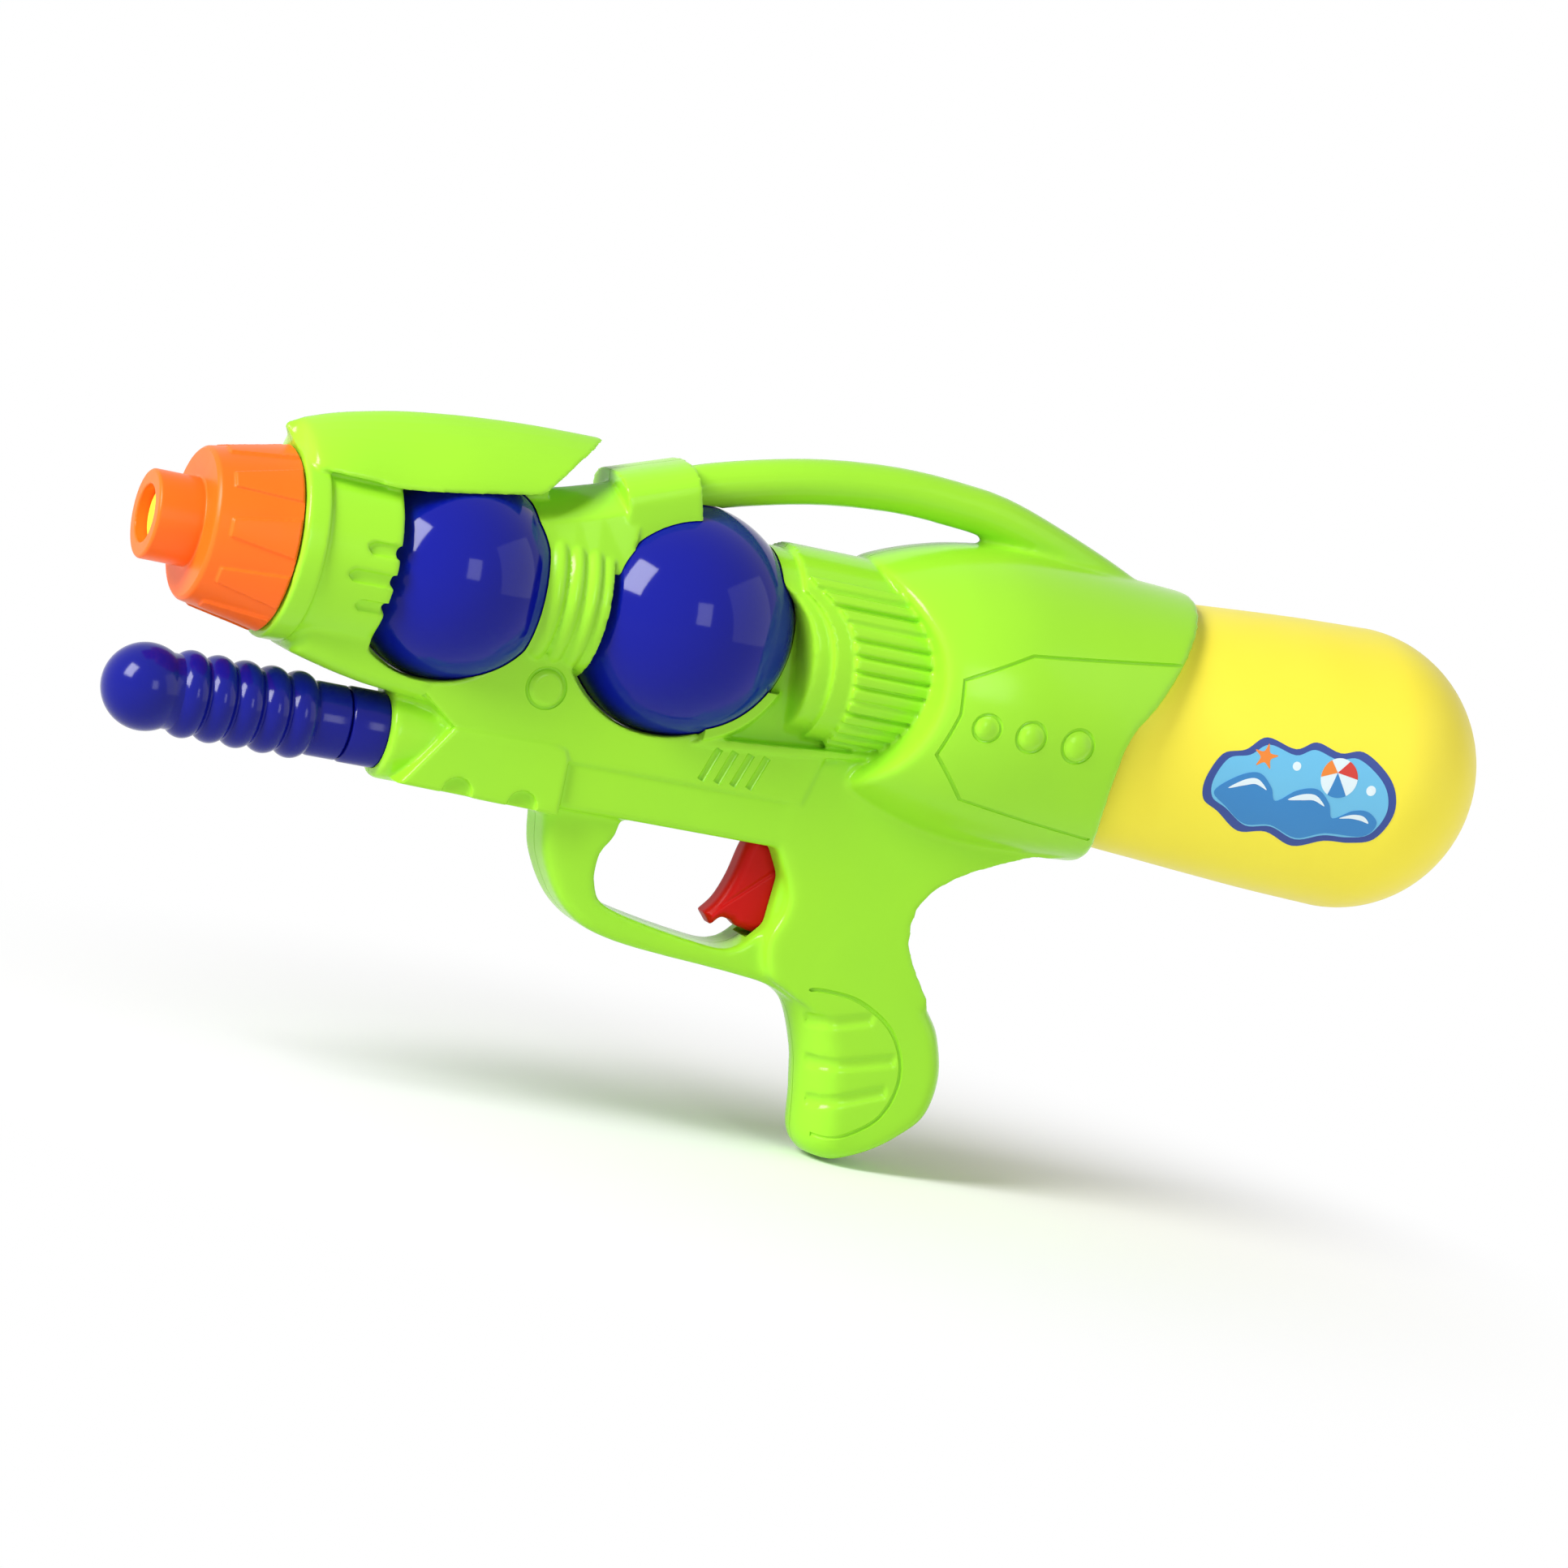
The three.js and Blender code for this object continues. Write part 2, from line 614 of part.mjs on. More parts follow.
const outer = join(
  barrel, waist, drum, sleeve, pumpTube, chin, keel, receiver, guard, grip, arch, saddle, sight, spine, ...detail,
);
const posts = screws
  .filter((s) => s.post)
  .map(({ x, z }) => common(outer, crossBar(x, z, POST_RADIUS, -60, 60, 8)));
const pinHole = crossBar(PIVOT_X, PIVOT_Z, PIN_RADIUS + GAP, 1 - RECEIVER_HALF, RECEIVER_HALF - 1);
const hollowed = cut(
  outer,
  barrelHollow, waistHollow, pumpHollow, receiverHollow, leverHollow, hoseHole, sleeveHollow, gripHollow,
);
const ribbed = join(
  hollowed,
  common(outer, cut(valveRib, bar(20, 28, VALVE_RADIUS + GAP, { z: VALVE_Z, sides: SMALL_SIDES }))),
  common(outer, join(frontRib, rearRib)),
  ...posts,
);
const body = cut(ribbed, frontPocket, rearPocket, triggerSlot, pinHole, ...screws.map(screwHole));
const half = (side) => box([-300, 300], side < 0 ? [-80, -GAP / 2] : [GAP / 2, 80], [-300, 300]);

// The largest single body of a solid: leaves out a sliver that a cut has parted from it.
function mainBody(whole) {
  return whole.decompose().reduce((a, b) => (b.volume() > a.volume() ? b : a));
}
const shellLeft = mainBody(common(body, half(-1)));
const shellRight = mainBody(common(body, half(1)));

// Balls: hollow halves that meet at Y = 0 round the water hose
function ballShell(x, radius) {
  const hose = bar(x - radius - 2, x + radius + 2, BALL_BORE, { sides: SMALL_SIDES });
  return cut(ball(x, radius), ball(x, radius - BALL_WALL, 10), hose);
}
const frontBall = ballShell(FRONT_BALL_X, FRONT_BALL_RADIUS);
const rearBall = ballShell(REAR_BALL_X, REAR_BALL_RADIUS);

// Nozzle: a hollow cone with spreading wedges, held by a flange inside the barrel, and the jet within its tip
const coneEnd = COLLAR_X - GAP;
const flangeX = COLLAR_X + 3 + GAP;
const jetSeatX = CONE_FRONT_X + 2.4;
const coneBody = turned([
  [NOZZLE_X, NOZZLE_BORE],
  [NOZZLE_X, NOZZLE_TIP_RADIUS - 0.5],
  [NOZZLE_X + 0.5, NOZZLE_TIP_RADIUS],
  [CONE_FRONT_X, NOZZLE_TIP_RADIUS],
  [CONE_FRONT_X, CONE_FRONT_RADIUS - 0.6],
  [CONE_FRONT_X + 0.6, CONE_FRONT_RADIUS],
  [coneEnd - 5, CONE_REAR_RADIUS - 1.6],
  [coneEnd, CONE_REAR_RADIUS],
  [coneEnd, spigotRadius],
  [flangeX, spigotRadius],
  [flangeX, BARREL_RADIUS - WALL - 0.8],
  [flangeX + 2, BARREL_RADIUS - WALL - 0.8],
  [flangeX + 2, spigotRadius - 2.2],
  [coneEnd - 7, spigotRadius - 2.2],
  [jetSeatX, CONE_FRONT_RADIUS - 4.6],
  [jetSeatX, NOZZLE_BORE],
  [NOZZLE_X, NOZZLE_BORE],
]);
function coneWedge(angle) {
  const length = CONE_LENGTH * 0.68;
  const middle = (CONE_FRONT_RADIUS + CONE_REAR_RADIUS) / 2;
  const shape = new THREE.Shape();
  shape.moveTo(0, -1.6);
  shape.lineTo(length, -1.6);
  shape.lineTo(length, 6.2);
  shape.lineTo(0, 1.8);
  const geometry = new THREE.ExtrudeGeometry(shape, { depth: 3, bevelEnabled: false });
  geometry.rotateY(-Math.atan((CONE_REAR_RADIUS - CONE_FRONT_RADIUS) / CONE_LENGTH));
  geometry.translate(coneEnd - length, -2, middle - 2.5);
  geometry.rotateX(angle);
  return solid(geometry);
}
const wedges = Array.from({ length: CONE_WEDGES }, (_, i) => coneWedge((i * 2 * Math.PI) / CONE_WEDGES));
const noseEnd = box([coneEnd, 0], [-60, 60], [-60, 60]);
const nozzleCone = join(coneBody, ...wedges.map((w) => cut(w, noseEnd)));
const jetFlangeX = jetSeatX + GAP;
const jet = turned(
  [
    [NOZZLE_X + JET_RECESS, NIPPLE_BORE],
    [NOZZLE_X + JET_RECESS, NOZZLE_BORE - GAP],
    [jetFlangeX, NOZZLE_BORE - GAP],
    [jetFlangeX, NOZZLE_BORE + 3],
    [jetFlangeX + 2, NOZZLE_BORE + 3],
    [jetFlangeX + 2, NIPPLE_RADIUS],
    [jetFlangeX + 10, NIPPLE_RADIUS],
    [jetFlangeX + 10, NIPPLE_BORE],
    [NOZZLE_X + JET_RECESS, NIPPLE_BORE],
  ],
  { sides: PUMP_SIDES },
);

// Pump: handle, rod, piston and seal move together in the cylinder behind the fixed cap
const atPump = { z: PUMP_Z, sides: PUMP_SIDES };
const socketEndX = HANDLE_END_X - 26;
const handleProfile = arc(KNOB_X, HANDLE_RADIUS, 0, degrees(126), 6);
for (let i = 0; i < HANDLE_RINGS; i++) {
  const x = RINGS_END_X - (HANDLE_RINGS - i - 0.5) * RING_PITCH;
  for (const [step, drop] of [[-0.5, 1.6], [-0.22, 0], [0.22, 0]])
    handleProfile.push([x + step * RING_PITCH, HANDLE_RADIUS - drop]);
}
const pumpHandle = turned(
  [
    ...handleProfile,
    [RINGS_END_X, HANDLE_SLEEVE_RADIUS],
    [HANDLE_END_X, HANDLE_SLEEVE_RADIUS],
    [HANDLE_END_X, ROD_RADIUS + GAP],
    [socketEndX, ROD_RADIUS + GAP],
    [socketEndX, 0],
  ],
  atPump,
);
const rodEndX = PISTON_X + PISTON_LENGTH - 2;
const pumpRod = bar(socketEndX + GAP, rodEndX, ROD_RADIUS, { z: PUMP_Z, sides: SMALL_SIDES });
const cylinderBore = CYLINDER_RADIUS - CYLINDER_WALL;
const pistonRadius = cylinderBore - GAP;
const grooveX = PISTON_X + 2.6;
const grooveEndX = PISTON_X + PISTON_LENGTH - 2.6;
const piston = turned(
  [
    [PISTON_X, ROD_RADIUS + GAP],
    [PISTON_X, pistonRadius],
    [grooveX, pistonRadius],
    [grooveX, pistonRadius - 2.2],
    [grooveEndX, pistonRadius - 2.2],
    [grooveEndX, pistonRadius],
    [PISTON_X + PISTON_LENGTH, pistonRadius],
    [PISTON_X + PISTON_LENGTH, 0],
    [rodEndX + GAP, 0],
    [rodEndX + GAP, ROD_RADIUS + GAP],
    [PISTON_X, ROD_RADIUS + GAP],
  ],
  atPump,
);
const pistonSeal = pipe(grooveX + GAP, grooveEndX - GAP, cylinderBore - 0.1, pistonRadius - 1.9, atPump);
const cylinder = turned(
  [
    [CYLINDER_X, cylinderBore],
    [CYLINDER_X, CYLINDER_RADIUS],
    [CYLINDER_END_X, CYLINDER_RADIUS],
    [CYLINDER_END_X, 1.5],
    [CYLINDER_END_X - 2, 1.5],
    [CYLINDER_END_X - 2, cylinderBore],
    [CYLINDER_X, cylinderBore],
  ],
  atPump,
);
const pumpCap = turned(
  [
    [CAP_X, ROD_RADIUS + GAP],
    [CAP_X, CAP_RADIUS - 0.8],
    [CAP_X + 0.8, CAP_RADIUS],
    [PUMP_FRONT_X - GAP, CAP_RADIUS],
    [PUMP_FRONT_X - GAP, CYLINDER_RADIUS],
    [CYLINDER_X - GAP, CYLINDER_RADIUS],
    [CYLINDER_X - GAP, cylinderBore - GAP],
    [CYLINDER_X + CAP_PLUG, cylinderBore - GAP],
    [CYLINDER_X + CAP_PLUG, ROD_RADIUS + GAP],
    [CAP_X, ROD_RADIUS + GAP],
  ],
  atPump,
);
const atAirPort = { y: HOSE_SIDE, z: PUMP_Z, sides: SMALL_SIDES };
const endCapFaceX = CYLINDER_END_X + GAP;
const endCap = cut(
  join(
    bar(endCapFaceX, END_CAP_X, CYLINDER_RADIUS, atPump),
    bar(END_CAP_X - 1, END_CAP_X + 7, NIPPLE_RADIUS, atAirPort),
  ),
  bar(endCapFaceX - 1, endCapFaceX + 2, cylinderBore, atPump),
  bar(endCapFaceX + 1, END_CAP_X + 8, NIPPLE_BORE, atAirPort),
);
const checkDisc = bar(endCapFaceX + 0.2, endCapFaceX + 1.2, 5, atPump);

// Valve, opened by the fork of the trigger
const atValve = { z: VALVE_Z, sides: SMALL_SIDES };
const outletX = VALVE_X + 5.5;
const outlet = (radius, z0, z1) => {
  const geometry = new THREE.CylinderGeometry(radius, radius, z1 - z0, SMALL_SIDES);
  geometry.rotateX(Math.PI / 2);
  geometry.translate(outletX, 0, (z0 + z1) / 2);
  return solid(geometry);
};
const outletTop = VALVE_Z + VALVE_RADIUS + 2.4;
const valveBody = cut(
  join(bar(VALVE_X, VALVE_END_X, VALVE_RADIUS, atValve), outlet(NIPPLE_RADIUS, VALVE_Z, outletTop)),
  bar(VALVE_X - 1, VALVE_X + 3, STEM_RADIUS + GAP, atValve),
  bar(VALVE_X + 2.6, VALVE_END_X + 1, VALVE_BORE, atValve),
  outlet(NIPPLE_BORE, VALVE_Z, outletTop + 1),
);
const plugX = VALVE_END_X - 2.4;
const valvePlug = turned(
  [
    [plugX, NIPPLE_BORE],
    [plugX, VALVE_BORE - GAP],
    [VALVE_END_X + GAP, VALVE_BORE - GAP],
    [VALVE_END_X + GAP, VALVE_RADIUS],
    [VALVE_END_X + 3, VALVE_RADIUS],
    [VALVE_END_X + 3, NIPPLE_RADIUS],
    [VALVE_END_X + 7.4, NIPPLE_RADIUS],
    [VALVE_END_X + 7.4, NIPPLE_BORE],
    [plugX, NIPPLE_BORE],
  ],
  atValve,
);
const stemHeadX = plugX - GAP - 2.6;
const forkRoom = 2.4; // half the room between the collars of the stem for the trigger fork
const valveStem = turned(
  [
    [STEM_NECK_X - forkRoom - 1.5, 0],
    [STEM_NECK_X - forkRoom - 1.5, 3.6],
    [STEM_NECK_X - forkRoom, 3.6],
    [STEM_NECK_X - forkRoom, 1.5],
    [STEM_NECK_X + forkRoom, 1.5],
    [STEM_NECK_X + forkRoom, 3.6],
    [STEM_NECK_X + forkRoom + 1.5, 3.6],
    [STEM_NECK_X + forkRoom + 1.5, STEM_RADIUS],
    [stemHeadX, STEM_RADIUS],
    [stemHeadX, VALVE_BORE - GAP],
    [stemHeadX + 2.6, VALVE_BORE - GAP],
    [stemHeadX + 2.6, 0],
  ],
  atValve,
);
const stemSeal = pipe(VALVE_X + 2.8, VALVE_X + 4.2, VALVE_BORE - 0.2, STEM_RADIUS + GAP, atValve);
const springX = VALVE_X + 4.2 + GAP + SPRING_WIRE;
const springEndX = stemHeadX - GAP - SPRING_WIRE;
class Coil extends THREE.Curve {
  getPoint(t) {
    const a = 2 * Math.PI * SPRING_TURNS * t;
    const r = (STEM_RADIUS + VALVE_BORE) / 2;
    return new THREE.Vector3(
      springX + (springEndX - springX) * t,
      r * Math.sin(a),
      VALVE_Z + r * Math.cos(a),
    );
  }
}
const valveSpring = along(new Coil(), SPRING_WIRE, { steps: SPRING_TURNS * 6, sides: 4 });

// Trigger: a finger blade, a hub on the pin and a lever that ends in a fork round the stem
const blade = plate(
  outline(
    [-5.6, RECEIVER_Z + 1],
    down([[-6.6, -3], [-8, -10], [-10.4, -16], [-13.4, -20.4]]),
    [-10.8, RECEIVER_Z - 22.8],
    down([[-6, -21.2], [0, -22.2], [5, -21.6]]),
    down([[7, -14], [5.4, -4], [4, 1]]),
  ),
  TRIGGER_HALF,
  1.2,
);
const leverTop = VALVE_Z + 3.6;
const lever = plate(
  outline(
    [PIVOT_X - 4, PIVOT_Z - 5],
    [PIVOT_X - 4.4, PIVOT_Z + 2],
    [PIVOT_X - 2.2, PIVOT_Z + 8],
    [STEM_NECK_X - 1.5, VALVE_Z - 8],
    [STEM_NECK_X + 1.5, VALVE_Z - 8],
    [PIVOT_X + 3.2, PIVOT_Z + 8],
    [PIVOT_X + 4.4, PIVOT_Z + 2],
    [PIVOT_X + 4, PIVOT_Z - 5],
  ),
  LEVER_HALF,
);
const fork = cut(
  box([STEM_NECK_X - 1.5, STEM_NECK_X + 1.5], [-4.6, 4.6], [VALVE_Z - 9, leverTop]),
  box([STEM_NECK_X - 3, STEM_NECK_X + 3], [-1.5 - GAP, 1.5 + GAP], [VALVE_Z - 2.6, leverTop + 1]),
);
const trigger = cut(
  join(blade, lever, fork),
  crossBar(PIVOT_X, PIVOT_Z, PIN_RADIUS + GAP, -10, 10),
);
const triggerPin = crossBar(PIVOT_X, PIVOT_Z, PIN_RADIUS, 1.3 - RECEIVER_HALF, RECEIVER_HALF - 1.3);

// Tank socket with its seal, and the dip tube that reaches down the tank
const cupRadius = NECK_RADIUS + 0.5;
const socketEnd = SOCKET_X + SOCKET_FLANGE;
const socketPorts = [
  { y: 0, z: VALVE_Z, sides: SMALL_SIDES },
  { ...AIR_PORT, sides: SMALL_SIDES },
];
const tankSocket = cut(
  join(
    turned(
      [
        [SOCKET_X, 0],
        [SOCKET_X, SOCKET_RADIUS],
        [socketEnd, SOCKET_RADIUS],
        [socketEnd, cupRadius + 3],
        [NECK_X + NECK_LENGTH - 1, cupRadius + 2],
        [NECK_X + NECK_LENGTH - 1, cupRadius],
        [socketEnd, cupRadius],
        [socketEnd, 0],
      ],
      { z: TANK_Z, sides: 20 },
    ),
    bar(SOCKET_X - 4.6, SOCKET_X + 1, NIPPLE_RADIUS, socketPorts[0]),
    bar(SOCKET_X - 4.6, SOCKET_X + 1, NIPPLE_RADIUS, socketPorts[1]),
    bar(socketEnd - 1, socketEnd + 6, NIPPLE_RADIUS, socketPorts[0]),
  ),
  bar(SOCKET_X - 5, socketEnd + 7, NIPPLE_BORE, socketPorts[0]),
  bar(SOCKET_X - 5, socketEnd + 7, NIPPLE_BORE, socketPorts[1]),
);
const tankSeal = pipe(socketEnd + GAP, NECK_X - GAP, NECK_RADIUS, neckBore, { z: TANK_Z, sides: 20 });
const dipX = socketEnd + GAP;
const dipTube = pipe(dipX, dipX + DIP_TUBE_LENGTH, HOSE_RADIUS, HOSE_BORE, socketPorts[0]);
const strainerX = dipX + DIP_TUBE_LENGTH + GAP;
const strainer = turned(
  [
    [strainerX - 5, 0],
    [strainerX - 5, HOSE_BORE - GAP],
    [strainerX, HOSE_BORE - GAP],
    [strainerX, HOSE_RADIUS + 0.4],
    [strainerX + 6, HOSE_RADIUS + 0.4],
    [strainerX + 8, 1.6],
    [strainerX + 8, 0],
  ],
  socketPorts[0],
);

// Hoses
const inletHose = pipe(
  VALVE_END_X + 3 + GAP, SOCKET_X - GAP, HOSE_RADIUS, HOSE_BORE, socketPorts[0],
);
const airHose = along(
  smoothPath([
    [END_CAP_X + GAP, HOSE_SIDE, PUMP_Z],
    [END_CAP_X + 7, HOSE_SIDE, PUMP_Z],
    [8, HOSE_SIDE, PUMP_Z + 1],
    [21, HOSE_SIDE, PUMP_Z + 9],
    [30, AIR_PORT.y - 0.8, AIR_PORT.z - 11],
    [SOCKET_X - 9, AIR_PORT.y, AIR_PORT.z - 0.6],
    [SOCKET_X - 5, AIR_PORT.y, AIR_PORT.z],
    [SOCKET_X - GAP, AIR_PORT.y, AIR_PORT.z],
  ]),
  HOSE_RADIUS,
  { bore: HOSE_BORE, steps: 15 },
);
const hoseFoot = VALVE_Z + VALVE_RADIUS + GAP;
const waterHose = along(
  smoothPath([
    [outletX, 0, hoseFoot],
    [outletX, 0, hoseFoot + 3],
    [outletX - 0.3, 0, hoseFoot + 6],
    [outletX - 4, 0, 1.6],
    [outletX - 11, 0, 2.2],
    [DRUM_FRONT_X + 3, 0, 0.2],
    [REAR_BALL_X, 0, 0],
    [FRONT_BALL_X, 0, 0],
    [jetFlangeX + 10, 0, 0],
    [jetFlangeX + 2 + GAP, 0, 0],
  ]),
  HOSE_RADIUS,
  { bore: HOSE_BORE, steps: 30 },
);

// Screws, their heads at the floor of the counterbores
function screw({ x, z }) {
  const headY = SCREW_SEAT_Y + GAP;
  return join(
    crossBar(x, z, SCREW_RADIUS, -SCREW_REACH, headY + 0.5, 8),
    crossBar(x, z, SCREW_HEAD_RADIUS, headY, headY + SCREW_HEAD, 8),
  );
}

// Every piece with its finish
const pieces = [
  ["body_shell_left", shellLeft, GREEN],
  ["body_shell_right", shellRight, GREEN],
  ["nozzle_cone", nozzleCone, ORANGE],
  ["nozzle_jet", jet, YELLOW],
  ["front_ball_left", common(frontBall, half(-1)), BLUE],
  ["front_ball_right", common(frontBall, half(1)), BLUE],
  ["rear_ball_left", common(rearBall, half(-1)), BLUE],
  ["rear_ball_right", common(rearBall, half(1)), BLUE],
  ["pump_handle", pumpHandle, PUMP_BLUE],
  ["pump_rod", pumpRod, WHITE],
  ["pump_piston", piston, WHITE],
  ["piston_seal", pistonSeal, RUBBER],
  ["pump_cap", pumpCap, PUMP_BLUE],
  ["pump_cylinder", cylinder, WHITE],
  ["cylinder_end_cap", endCap, WHITE],
  ["check_valve_disc", checkDisc, RUBBER],
  ["air_hose", airHose, CLEAR],
  ["water_hose", waterHose, CLEAR],
  ["inlet_hose", inletHose, CLEAR],
  ["trigger", trigger, RED],
  ["trigger_pin", triggerPin, STEEL],
  ["valve_body", valveBody, WHITE],
  ["valve_plug", valvePlug, WHITE],
  ["valve_stem", valveStem, WHITE],
  ["stem_seal", stemSeal, RUBBER],
  ["valve_spring", valveSpring, STEEL],
  ["tank_socket", tankSocket, WHITE],
  ["tank_seal", tankSeal, RUBBER],
  ["tank", tank, YELLOW],
  ["dip_tube", dipTube, CLEAR],
  ["dip_strainer", strainer, WHITE],
  ...screws.map((s) => [s.name, screw(s), STEEL]),
];

const squirter = new THREE.Group();
squirter.name = "water_squirter";
for (const [name, shape, look] of pieces) {
  const { vertProperties, triVerts } = shape.getMesh();
  const geometry = new THREE.BufferGeometry();
  geometry.setAttribute("position", new THREE.BufferAttribute(new Float32Array(vertProperties), 3));
  geometry.setIndex(new THREE.BufferAttribute(new Uint32Array(triVerts), 1));
  geometry.computeVertexNormals();
  const mesh = new THREE.Mesh(geometry, new THREE.MeshStandardMaterial(look));
  mesh.name = name;
  squirter.add(mesh);
}

// Set the whole on its grip, with its length centred
const extent = new THREE.Box3().setFromObject(squirter);
squirter.position.set(-(extent.min.x + extent.max.x) / 2, 0, -extent.min.z);

export default squirter;
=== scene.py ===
"""Looks for the water squirter: glossy moulded shells, balls, nozzle, pump, trigger and tank.

Pieces are shaped in millimetres about the barrel axis, with the nozzle towards -X, the tank towards +X and
Z up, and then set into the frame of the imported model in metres.
"""

import json
import math

import bmesh
import bpy
from mathutils import Matrix, Vector


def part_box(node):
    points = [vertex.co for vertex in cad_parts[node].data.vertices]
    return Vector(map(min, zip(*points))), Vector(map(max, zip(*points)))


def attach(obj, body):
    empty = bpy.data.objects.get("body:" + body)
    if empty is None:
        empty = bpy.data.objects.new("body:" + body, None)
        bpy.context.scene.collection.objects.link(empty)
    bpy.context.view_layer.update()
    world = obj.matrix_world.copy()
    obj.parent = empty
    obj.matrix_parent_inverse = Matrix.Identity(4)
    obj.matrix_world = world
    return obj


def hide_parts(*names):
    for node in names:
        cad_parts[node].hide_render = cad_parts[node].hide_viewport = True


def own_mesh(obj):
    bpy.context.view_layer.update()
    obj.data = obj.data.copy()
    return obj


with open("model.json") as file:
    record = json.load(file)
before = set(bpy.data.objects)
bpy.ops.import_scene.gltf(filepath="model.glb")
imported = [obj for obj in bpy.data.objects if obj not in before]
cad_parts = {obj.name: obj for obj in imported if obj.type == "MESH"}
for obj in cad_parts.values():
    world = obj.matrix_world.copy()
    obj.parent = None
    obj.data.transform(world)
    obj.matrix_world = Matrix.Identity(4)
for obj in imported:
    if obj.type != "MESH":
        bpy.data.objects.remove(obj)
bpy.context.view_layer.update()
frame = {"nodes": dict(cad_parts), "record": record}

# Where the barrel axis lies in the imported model: the trigger pin is the one point both share.
PIN_X, PIN_Z = -1.0, -47.0
pin_low, pin_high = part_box("trigger_pin")
pin = (pin_low + pin_high) / 2
AXIS_PLACE = Vector((pin.x - PIN_X / 1000, 0, pin.z - PIN_Z / 1000))
TO_MODEL = Matrix.Translation(AXIS_PLACE) @ Matrix.Scale(0.001, 4)

# Stations and sizes of the object, in millimetres about the barrel axis
SEAM = 0.12
DRUM_FRONT = -12.0
DRUM_RADIUS = 22.4
DRUM_PLAIN = 10.5
DRUM_BAND = 5.5
RIB_STEP = 8.8
REAR_BALL = (-38.2, 29.0)
FRONT_BALL = (-98.2, 26.2)
BALL_WALL = 2.0
BALL_FIT = 0.3
HOSE_HOLE = 4.2
WAIST_RIM = -63.0
WAIST_RIB = 4.6
BARREL_RIM = -118.2
BARREL_RADIUS = 22.5
COLLAR = -143.2
CONE_FRONT = -163.8
CONE_RADIUS = 18.6
NOZZLE = -175.4
NOZZLE_BORE = 7.0
PUMP_Z = -40.4
PUMP_FRONT = -107.0
PUMP_TUBE_RADIUS = 11.5
PUMP_ROD_HOLE = 3.3
RECEIVER_Z = -49.7
RECEIVER_HALF = 12.5
KEEL_HALF = 12.9
GRIP_HALF = 12.4
TANK_Z = -4.0
TANK_RADIUS = 36.2
TANK_SHOULDER = 62.6
TANK_WIDEST = 150.0
TANK_END = 185.0
TANK_WALL = 1.4
SLEEVE_FRONT, SLEEVE_REAR = 3, 106
SLEEVE_RADIUS = 37.8
SLEEVE_TOP = TANK_Z + SLEEVE_RADIUS
NECK_X = 51.6
VALVE_Z = -13.0
STEM_ROOM_TOP = VALVE_Z + 5.2
SIDES = (-1, 1)

# How finely softened skins are drawn, in millimetres, and how many triangles the thinned ones keep
COARSE, FINE, FINEST = 0.8, 0.5, 0.3
SHELL_TRIANGLES, CONE_TRIANGLES, TRIGGER_TRIANGLES = 340000, 90000, 40000

# Faces that meet at more than this angle keep a hard edge
CREASE = math.radians(35)

# Angles that draw a rounded quarter turn
QUARTER = [math.radians(10 * i + 5) for i in range(9)]


# Shaping

def solid(bm):
    """Closes a shaped bmesh: doubles merged, flat leftovers removed, faces outward."""
    bmesh.ops.remove_doubles(bm, verts=bm.verts, dist=1e-4)
    bmesh.ops.dissolve_degenerate(bm, edges=bm.edges, dist=1e-4)
    bmesh.ops.recalc_face_normals(bm, faces=bm.faces)
    return bm


def curve_through(points, steps=8):
    """A smooth run of points through the given ones, ends included."""
    pts = [Vector(p) for p in points]
    run = [pts[0] * 2 - pts[1], *pts, pts[-1] * 2 - pts[-2]]
    out = []
    for a, b, c, d in zip(run, run[1:], run[2:], run[3:]):
        for i in range(steps):
            t = i / steps
            point = 2 * b + (c - a) * t
            point += (2 * a - 5 * b + 4 * c - d) * t**2
            point += (3 * b - a - 3 * c + d) * t**3
            out.append(0.5 * point)
    return out + [pts[-1]]


def between(points, spacing=2.0):
    """Points along straight runs, close enough together to follow a round surface."""
    out = []
    for a, b in zip(points, points[1:]):
        count = max(1, int((b - a).length / spacing))
        out += [a.lerp(b, i / count) for i in range(count)]
    return out + [points[-1]]


def outline(*runs):
    """Corners and smooth runs put together: a tuple is a corner, a list a run on from the last point."""
    out = []
    for run in runs:
        if isinstance(run, tuple):
            out.append(Vector(run))
        else:
            out += curve_through([out[-1], *run])[1:]
    return out


def turned(profile, sides=96, z=0.0):
    """A profile of (x, radius) points spun about an axis along X."""
    bm = bmesh.new()
    verts = [bm.verts.new((x, 0, r)) for x, r in profile]
    edges = [bm.edges.new(pair) for pair in zip(verts, verts[1:])]
    bmesh.ops.spin(
        bm, geom=verts + edges, cent=(0, 0, 0), axis=(1, 0, 0), angle=2 * math.pi, steps=sides, use_merge=True
    )
    bmesh.ops.translate(bm, verts=bm.verts, vec=(0, 0, z))
    return solid(bm)


def rod(x0, x1, radius, sides=64, z=0.0):
    """A plain round length along X."""
    return turned([(x0, 0), (x0, radius), (x1, radius), (x1, 0)], sides, z)


def round_over(bm, edges, offset, segments):
    """Rounds the given edges of a shape."""
    bmesh.ops.bevel(
        bm, geom=edges, offset=offset, segments=segments, profile=0.5, affect="EDGES", material=-1
    )


